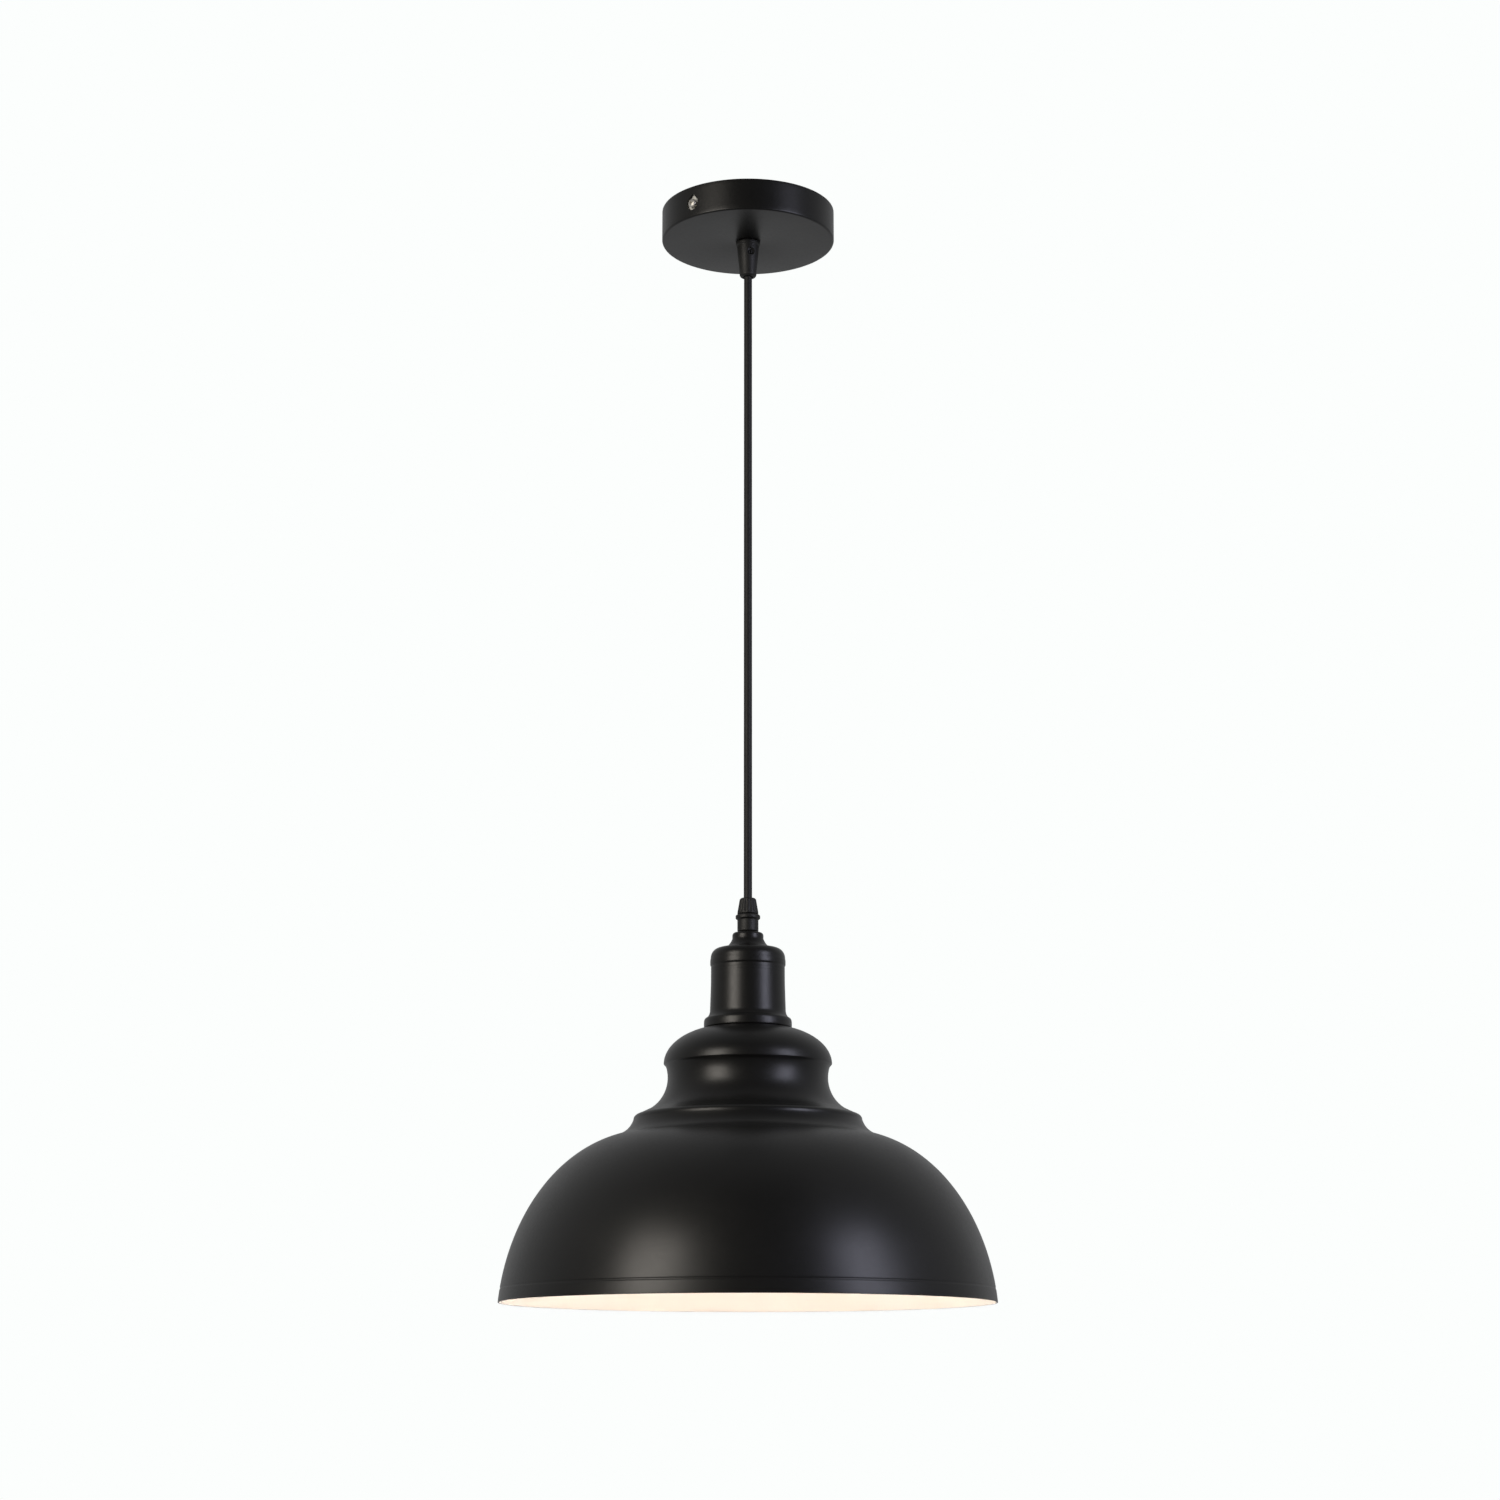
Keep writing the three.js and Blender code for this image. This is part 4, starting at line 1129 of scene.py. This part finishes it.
@dataclass
class Shade(SubAssembly):
    """The spun shade: crown, hollow waist, and a ledge that flows into the wide dome."""

    body: str = "pendant"
    wall: float = 0.8
    rim: float = 145.0
    hole: float = 20.7
    crown: float = 49.8
    crown_centre: float = 12.9
    crown_depth: float = 22.6
    crease: float = 0.7
    waist: float = 47.4
    waist_radius: float = 21.81
    waist_drop: float = 30.7
    waist_end: float = 60.0
    ledge: float = 67.4
    ledge_top: Point = (64.3, 52.4)
    ledge_foot: float = 55.6
    flow_pull: Point = (70.0, 63.4)
    flow_end: float = 79.0
    dome_foot: float = 71.4
    dome_centre: float = 60.64
    dome_height: float = 113.3
    dome_centre_below_rim: float = 14.7
    line_above_rim: float = 8.0
    line_width: float = 2.2
    line_depth: float = 0.22

    def dome(self, rim_z: float) -> list[Corner]:
        """The dome's outside, with a shallow rolled line above its rim.

        Args:
            rim_z: Height of the rim.

        Returns:
            The points, from where the ledge flows in down to the rim.
        """
        rise = math.asin(self.dome_centre_below_rim / self.dome_height)
        reach = (self.rim - self.dome_centre) / math.cos(rise)
        start = math.degrees(math.acos((self.dome_foot - self.dome_centre) / reach))
        centre = (self.dome_centre, rim_z - self.dome_centre_below_rim)
        sheet = arc(centre, (reach, self.dome_height), start, math.degrees(rise), 72)
        line = rim_z + self.line_above_rim
        kept = [corner for corner in sheet if abs(corner[1] - line) > self.line_width / 2 + 0.2]
        for step in range(-6, 7):
            share = step / 6
            depth = self.line_depth * (0.5 + 0.5 * math.cos(math.pi * share))
            kept.append(self.on_dome(centre, reach, line + share * self.line_width / 2, depth))
        return sorted((corner for corner in kept if corner[0] > self.flow_end), key=lambda c: -c[1])

    def on_dome(self, centre: Point, reach: float, z: float, depth: float) -> Corner:
        """A point on the dome at one height, sunk by a depth.

        Args:
            centre: Radius and height of the dome's own centre.
            reach: The dome's half width about that centre.
            z: The point's height.
            depth: How far inward it is sunk.

        Returns:
            The point, not rounded.
        """
        share = (z - centre[1]) / self.dome_height
        return centre[0] + reach * math.sqrt(1 - share * share) - depth, z, 0.0

    def build(self) -> None:
        """Spin the shade, black outside and white inside."""
        rim_z, opening = heights("shade")
        reach = self.crown - self.crown_centre
        start = math.degrees(math.acos((self.hole - self.crown_centre) / reach))
        crown_z = opening - self.crown_depth * math.sin(math.radians(start))
        top = crown_z + self.crown_depth
        waist_centre = (self.waist + self.waist_radius, top - self.waist_drop)
        rise = math.degrees(math.asin((self.waist_drop - self.crown_depth) / self.waist_radius))
        foot = (self.ledge, top - self.ledge_foot)
        dome = self.dome(rim_z + 0.1)
        outer = [
            *arc((self.crown_centre, crown_z), (reach, self.crown_depth), start, 2.5, 32),
            (self.crown, crown_z + 0.05, 0.3),
            (self.crown - self.crease, crown_z - self.crease, 0.25),
            *arc(waist_centre, (self.waist_radius, self.waist_radius),
                 184 - rise, 180 + self.waist_end, 28),
            *sweep((self.ledge_top[0], top - self.ledge_top[1]),
                   (self.ledge, top - self.ledge_top[1] - 0.8), foot),
            *sweep(foot, (self.flow_pull[0], top - self.flow_pull[1]), dome[0][:2], 20)[1:-1],
            *dome,
        ]
        smooth = [point for point in outer if point[2] or self.keeps_wall(point, rim_z)]
        inner = inset(smooth, self.wall)
        outside = [*outer[:-1], (*outer[-1][:2], 0.15)]
        outline = rounded([*outside, (inner[0][0], outer[-1][1], 0.15), *inner[1:]])
        count = len(rounded(outside)) + 1
        zones = [0] * count + [1] * (len(outline) - count - 1) + [0]
        shade = turned("shade_spun", outline, 224, zones=zones)
        self.dress(shade, "shade", "black_paint", SATIN_PAINT, WHITE_ENAMEL)

    def keeps_wall(self, point: Corner, rim_z: float) -> bool:
        """Whether a point of the outside also shapes the inside: the rolled line doesn't.

        Args:
            point: The outside's point.
            rim_z: Height of the rim.

        Returns:
            True where the sheet's two sides run together.
        """
        line = rim_z + 0.1 + self.line_above_rim
        return abs(point[1] - line) > self.line_width


@dataclass
class LampHolder(SubAssembly):
    """The screw lampholder's threaded body; its domed cap is carried over and its shade ring made
    apart.
    """

    body: str = "pendant"
    radius: float = 20.0
    wall: float = 2.1
    bore: float = 16.0
    lip: float = 14.6
    lip_height: float = 2.0
    flange: float = 24.0
    flange_height: float = 3.0
    pitch: float = 2.5
    depth: float = 0.5
    thread_step: float = 0.25
    thread_gap: float = 0.6
    clearance: float = 0.3

    def build(self) -> None:
        """Make the body with its outer thread."""
        bottom, top = heights("holder_body")
        shell_top = heights("holder_thread_shell")[1]
        under = heights("shade")[1] + self.clearance
        inner = self.radius - self.wall
        above = under + self.flange_height
        root = self.radius - self.depth
        count = int((under - self.thread_gap - bottom) / self.thread_step)
        holder = turned("lampholder_body", rounded([
            (inner, top, 0.3), (self.radius, top, 0.3), (self.radius - 1e-4, above, 0.0),
            (self.flange, above, 0.5), (self.flange, under, 0.4), (root, under, 0.0),
            *shank(self.radius, under - self.thread_gap, -self.thread_step, count),
            (root, bottom, 0.4), (self.lip, bottom, 0.5), (self.lip, bottom + self.lip_height, 0.3),
            (self.bore, bottom + self.lip_height, 0.0), (self.bore, shell_top, 0.0),
            (inner, shell_top, 0.0),
        ]), 128, screw_thread(self.radius, self.pitch, self.depth, under - 0.5, rolled=True))
        self.dress(holder, "holder_body", "bakelite", PHENOLIC)


@dataclass
class ShadeRing(SubAssembly):
    """The notched ring that screws up the lampholder and clamps the shade."""

    body: str = "shade_ring_body"
    radius: float = 28.0
    bore: float = 20.4
    ribs: int = 20
    rib: float = 0.7

    def build(self) -> None:
        """Make the ring."""
        bottom, top = heights("shade_ring")
        wall = [(self.radius, top - 1.0 - (top - bottom - 2.0) * i / 12, 0.0) for i in range(13)]

        def notch(angle: float, r: float, z: float) -> float:
            """Pull the rim in between its ribs.

            Args:
                angle: The point's angle round the ring, in radians.
                r: Its radius.
                z: Its height, which the ribs don't depend on.

            Returns:
                Its new radius.
            """
            if r < self.radius - 1.2:
                return r
            return r - self.rib * (0.5 + 0.5 * math.cos(angle * self.ribs)) ** 3

        ring = turned("shade_ring_moulded", rounded([
            (self.bore, top, 0.3), (self.radius - 0.8, top, 0.6), *wall,
            (self.radius - 1.0, bottom, 0.5), (self.radius - 3.4, bottom, 0.3),
            (self.radius - 3.6, bottom + 0.8, 0.3), (self.bore + 2.2, bottom + 0.8, 0.3),
            (self.bore + 2.0, bottom, 0.3), (self.bore, bottom, 0.4),
        ]), self.ribs * 12, notch)
        self.dress(ring, "shade_ring", "bakelite", PHENOLIC)


@dataclass
class Bulb(SubAssembly):
    """The screw-in lamp's threaded cap and opal globe; its cap glass is carried over."""

    body: str = "bulb"
    cap: float = 13.0
    pitch: float = 3.6
    thread: float = 0.7
    thread_step: float = 0.3
    cap_wall: float = 0.8
    globe: float = 30.0
    neck: float = 13.0
    neck_length: float = 6.0
    shoulder: float = 40.0

    def build(self) -> None:
        """Make the cap and the globe."""
        self.make_cap()
        self.make_globe()

    def make_cap(self) -> None:
        """Roll the round thread into the drawn cap."""
        bottom, top = heights("bulb_cap")
        bore = self.cap - self.thread - self.cap_wall
        count = int((top - bottom - 3.0) / self.thread_step)
        cap = turned("bulb_cap_rolled", rounded([
            (bore, top, 0.2), (self.cap - self.thread - 0.3, top, 0.5),
            *shank(self.cap, top - 1.2, -self.thread_step, count),
            (self.cap - 0.1, bottom + 1.0, 0.3), (self.cap - 0.1, bottom, 0.2), (bore, bottom, 0.2),
        ]), 96, screw_thread(self.cap, self.pitch, self.thread, rolled=True))
        self.dress(cap, "bulb_cap", "cap_metal", DRAWN_ALUMINIUM)

    def make_globe(self) -> None:
        """Blow the opal globe, from its neck to its pole."""
        bottom, top = heights("bulb_globe")
        centre = bottom + self.globe
        lean = math.radians(self.shoulder)
        handle = self.globe / 4
        meet = Vector((self.globe * math.cos(lean), centre + self.globe * math.sin(lean)))
        start = Vector((self.neck, top - self.neck_length))
        pulls = (start - Vector((0, handle)),
                 meet + Vector((-math.sin(lean), math.cos(lean))) * handle)
        flank = [start * (1 - t) ** 3 + pulls[0] * (3 * t * (1 - t) ** 2)
                 + pulls[1] * (3 * t * t * (1 - t)) + meet * t**3
                 for t in (i / 16 for i in range(16))]
        outline = [
            (0.0, top, 0.0), (self.neck - 0.2, top, 0.4), (self.neck, top - 2.0, 0.0),
            *[(spot.x, spot.y, 0.0) for spot in flank],
            *arc((0.0, centre), (self.globe, self.globe), self.shoulder, -88, 36),
            (0.0, bottom, 0.0),
        ]
        globe = turned("bulb_globe_opal", rounded(outline), 96)
        self.dress(globe, "bulb_globe", "opal_plastic", OPAL_POLYCARBONATE)


@dataclass(frozen=True)
class Carried:
    """CAD nodes whose shape is right and that only need real edges and a finish.

    Attributes:
        nodes: Their names.
        finish: Their finish.
        edge: Width of the rounding along their edges, in mm.
        smooth: How many times a coarse tube is subdivided.
    """

    nodes: tuple[str, ...]
    finish: Finish
    edge: float = 0.0
    smooth: int = 0

    def dress(self, frame: dict) -> None:
        """Give each node its edges and its material.
        """
        for name in self.nodes:
            node = frame["nodes"][name]
            node.data.materials.clear()
            node.data.materials.append(self.finish.material())
            joined = node.modifiers.new("joined", "WELD")
            joined.merge_threshold = DOUBLED
            if self.edge:
                bevel = node.modifiers.new("edges", "BEVEL")
                bevel.width = self.edge * MM
                bevel.segments = 2
                bevel.limit_method = "ANGLE"
                bevel.angle_limit = math.radians(40)
            if self.smooth:
                soft = node.modifiers.new("round", "SUBSURF")
                soft.levels = soft.render_levels = self.smooth
            node.data.shade_smooth()
            sharp = WIRE_SHARP if self.smooth else CARRIED_SHARP
            node.data.set_sharp_from_angle(angle=math.radians(sharp))
            log.info("carried over: %s, %s", name, self.finish.name)


CARRIED = (
    Carried(("ceiling_bracket",), ZINC_PLATE_PAINTED_REFLECTION, edge=0.25),
    Carried(("upper_grip_nut", "gland_locknut"), ZINC_PLATE_PAINTED_REFLECTION, edge=0.2),
    Carried(("block_screw", "terminal_screw_live_inner", "terminal_screw_live_outer",
             "terminal_screw_neutral_inner", "terminal_screw_neutral_outer"), ZINC_PLATE_PAINTED_REFLECTION, edge=0.1),
    Carried(("earth_screw_upper", "terminal_sleeve_live", "terminal_sleeve_neutral",
             "holder_thread_shell", "centre_contact"), TURNED_BRASS, edge=0.1),
    Carried(("earth_ring_upper", "earth_tag_lower", "bulb_contact"), NICKEL_PLATE_PAINTED_REFLECTION, edge=0.12),
    Carried(("terminal_block",), NATURAL_POLYAMIDE, edge=0.35),
    Carried(("cord_tail_upper", "cord_tail_lower"), PVC_SHEATH, edge=0.1),
    Carried(("live_wire_upper", "live_wire_lower"), LIVE_PVC, smooth=2),
    Carried(("neutral_wire_upper", "neutral_wire_lower"), NEUTRAL_PVC, smooth=2),
    Carried(("earth_wire_upper", "earth_wire_lower"), EARTH_PVC, smooth=2),
    Carried(("gland_seal",), EPDM_RUBBER, edge=0.15),
    Carried(("holder_dome",), PHENOLIC, edge=0.3),
    Carried(("holder_core",), STEATITE, edge=0.3),
    Carried(("bulb_insulator",), CAP_GLASS, edge=0.2),
)


# ------------------------------------------------------------------ studio


@dataclass
class Softbox:
    """A rectangular studio light that faces the lamp.

    Attributes:
        name: The light's name.
        azimuth: Degrees to the right of the viewer's side.
        elevation: Degrees above the target.
        distance: Metres from the target.
        width: Metres across.
        height: Metres tall.
        watts: Its power.
        colour: The sRGB hex colour of its light.
    """

    name: str
    azimuth: float
    elevation: float
    distance: float
    width: float
    height: float
    watts: float
    colour: str

    def build(self, target: Vector) -> None:
        """Hang the light and turn it to the target.

        Args:
            target: The point that it faces.
        """
        data = bpy.data.lights.new(self.name, "AREA")
        data.shape = "RECTANGLE"
        data.size, data.size_y = self.width, self.height
        data.energy = self.watts
        data.color = linear(self.colour)[:3]
        lamp = add_object(self.name, data)
        turn, rise = math.radians(self.azimuth), math.radians(self.elevation)
        away = Vector((math.sin(turn) * math.cos(rise), -math.cos(turn) * math.cos(rise),
                       math.sin(rise)))
        lamp.location = target + away * self.distance
        lamp.rotation_euler = away.to_track_quat("Z", "Y").to_euler()


@dataclass
class Studio:
    """Camera, lights, white surroundings and pale floor."""

    lens: float = 71.8
    sensor: float = 36.0
    camera_at: tuple[float, float, float] = (0.00125, -1.767, -0.7436)
    pitch: float = 12.64
    target: tuple[float, float, float] = (0.0, 0.0, -0.55)
    floor_z: float = -2.45
    floor_radius: float = 2.6
    floor_depth: float = 0.03
    floor_edge: float = 0.012
    surround_radius: float = 7.0
    room_light: tuple[Point, ...] = (
        (0.0, 0.045), (0.25, 0.045), (0.42, 0.18), (0.6, 0.29), (1.0, 0.5))
    lights: tuple[Softbox, ...] = (
        Softbox("softbox_left", -44.0, 14.0, 1.7, 0.75, 1.1, 13.0, "fff8ee"),
        Softbox("softbox_right", 55.0, 14.0, 1.7, 0.62, 1.1, 10.5, "eaebff"),
    )

    def build(self) -> None:
        """Set up the whole studio."""
        self.make_camera()
        for light in self.lights:
            light.build(Vector(self.target))
        self.make_world()
        self.make_surround()
        self.make_floor()
        bpy.context.scene.view_settings.view_transform = "Standard"

    def make_camera(self) -> None:
        """Stand the camera level with the shade, tilted up."""
        data = bpy.data.cameras.new("camera")
        data.lens, data.sensor_width = self.lens, self.sensor
        camera = add_object("camera", data)
        camera.location = self.camera_at
        camera.rotation_euler = (math.radians(90 + self.pitch), 0.0, 0.0)
        bpy.context.scene.camera = camera

    def make_world(self) -> None:
        """Fill the room with even light that grows from the dark front to the white back."""
        world = bpy.data.worlds.new("white_backed_room")
        world.use_nodes = True
        tree = world.node_tree
        way = add_node(tree, "ShaderNodeTexCoord").outputs["Generated"]
        depth = add_node(tree, "ShaderNodeSeparateXYZ", {}, {"Vector": way}).outputs["Y"]
        front_to_back = add_node(tree, "ShaderNodeMapRange", {"clamp": True},
                                 {"Value": depth, "From Min": -1.0, "From Max": 1.0})
        grown = add_node(tree, "ShaderNodeValToRGB", {},
                         {"Fac": front_to_back.outputs["Result"]})
        stops = grown.color_ramp.elements
        for share, _ in self.room_light[1:-1]:
            stops.new(share)
        for stop, (share, strength) in zip(stops, self.room_light):
            stop.position, stop.color = share, (strength, strength, strength, 1.0)
        sky = tree.nodes["Background"]
        sky.inputs["Color"].default_value = linear("f6f7f8")
        tree.links.new(grown.outputs["Color"], sky.inputs["Strength"])
        bpy.context.scene.world = world

    def make_surround(self) -> None:
        """A white surround that the camera sees and that doesn't light the lamp."""
        mesh = bmesh.new()
        bmesh.ops.create_icosphere(mesh, subdivisions=4, radius=self.surround_radius / MM)
        surround = to_object("white_surround", mesh)
        paper = bpy.data.materials.new("lit_white_paper")
        paper.use_nodes = True
        tree = paper.node_tree
        tree.nodes.clear()
        glow = add_node(tree, "ShaderNodeEmission", {},
                        {"Color": linear("fcfefd"), "Strength": 1.0})
        add_node(tree, "ShaderNodeOutputMaterial", {}, {"Surface": glow.outputs["Emission"]})
        surround.data.materials.append(paper)
        surround.visible_diffuse = surround.visible_glossy = False
        surround.visible_transmission = surround.visible_shadow = False

    def make_floor(self) -> None:
        """A round pale floor with a rolled edge, well below the lamp."""
        top, reach, edge = self.floor_z / MM, self.floor_radius / MM, self.floor_edge / MM
        foot = top - self.floor_depth / MM
        floor = turned("studio_floor", rounded([
            (0.0, top, 0.0), (reach, top, edge), (reach, foot, edge), (0.0, foot, 0.0),
        ]), 96)
        floor.data.materials.append(PALE_FLOOR.material())
        floor.visible_diffuse = floor.visible_glossy = False


def main() -> None:
    """Build the lamp's looks in order, and the studio round it."""
    logging.basicConfig(level=logging.INFO, format="%(message)s")
    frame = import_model()
    Studio().build()
    Flex().build()
    for kind in (CeilingCup, UpperGrip, Gland, NeckCap, Shade, LampHolder, ShadeRing, Bulb):
        kind().build()
    for carried in CARRIED:
        carried.dress(frame)


if __name__ == "__main__":
    main()
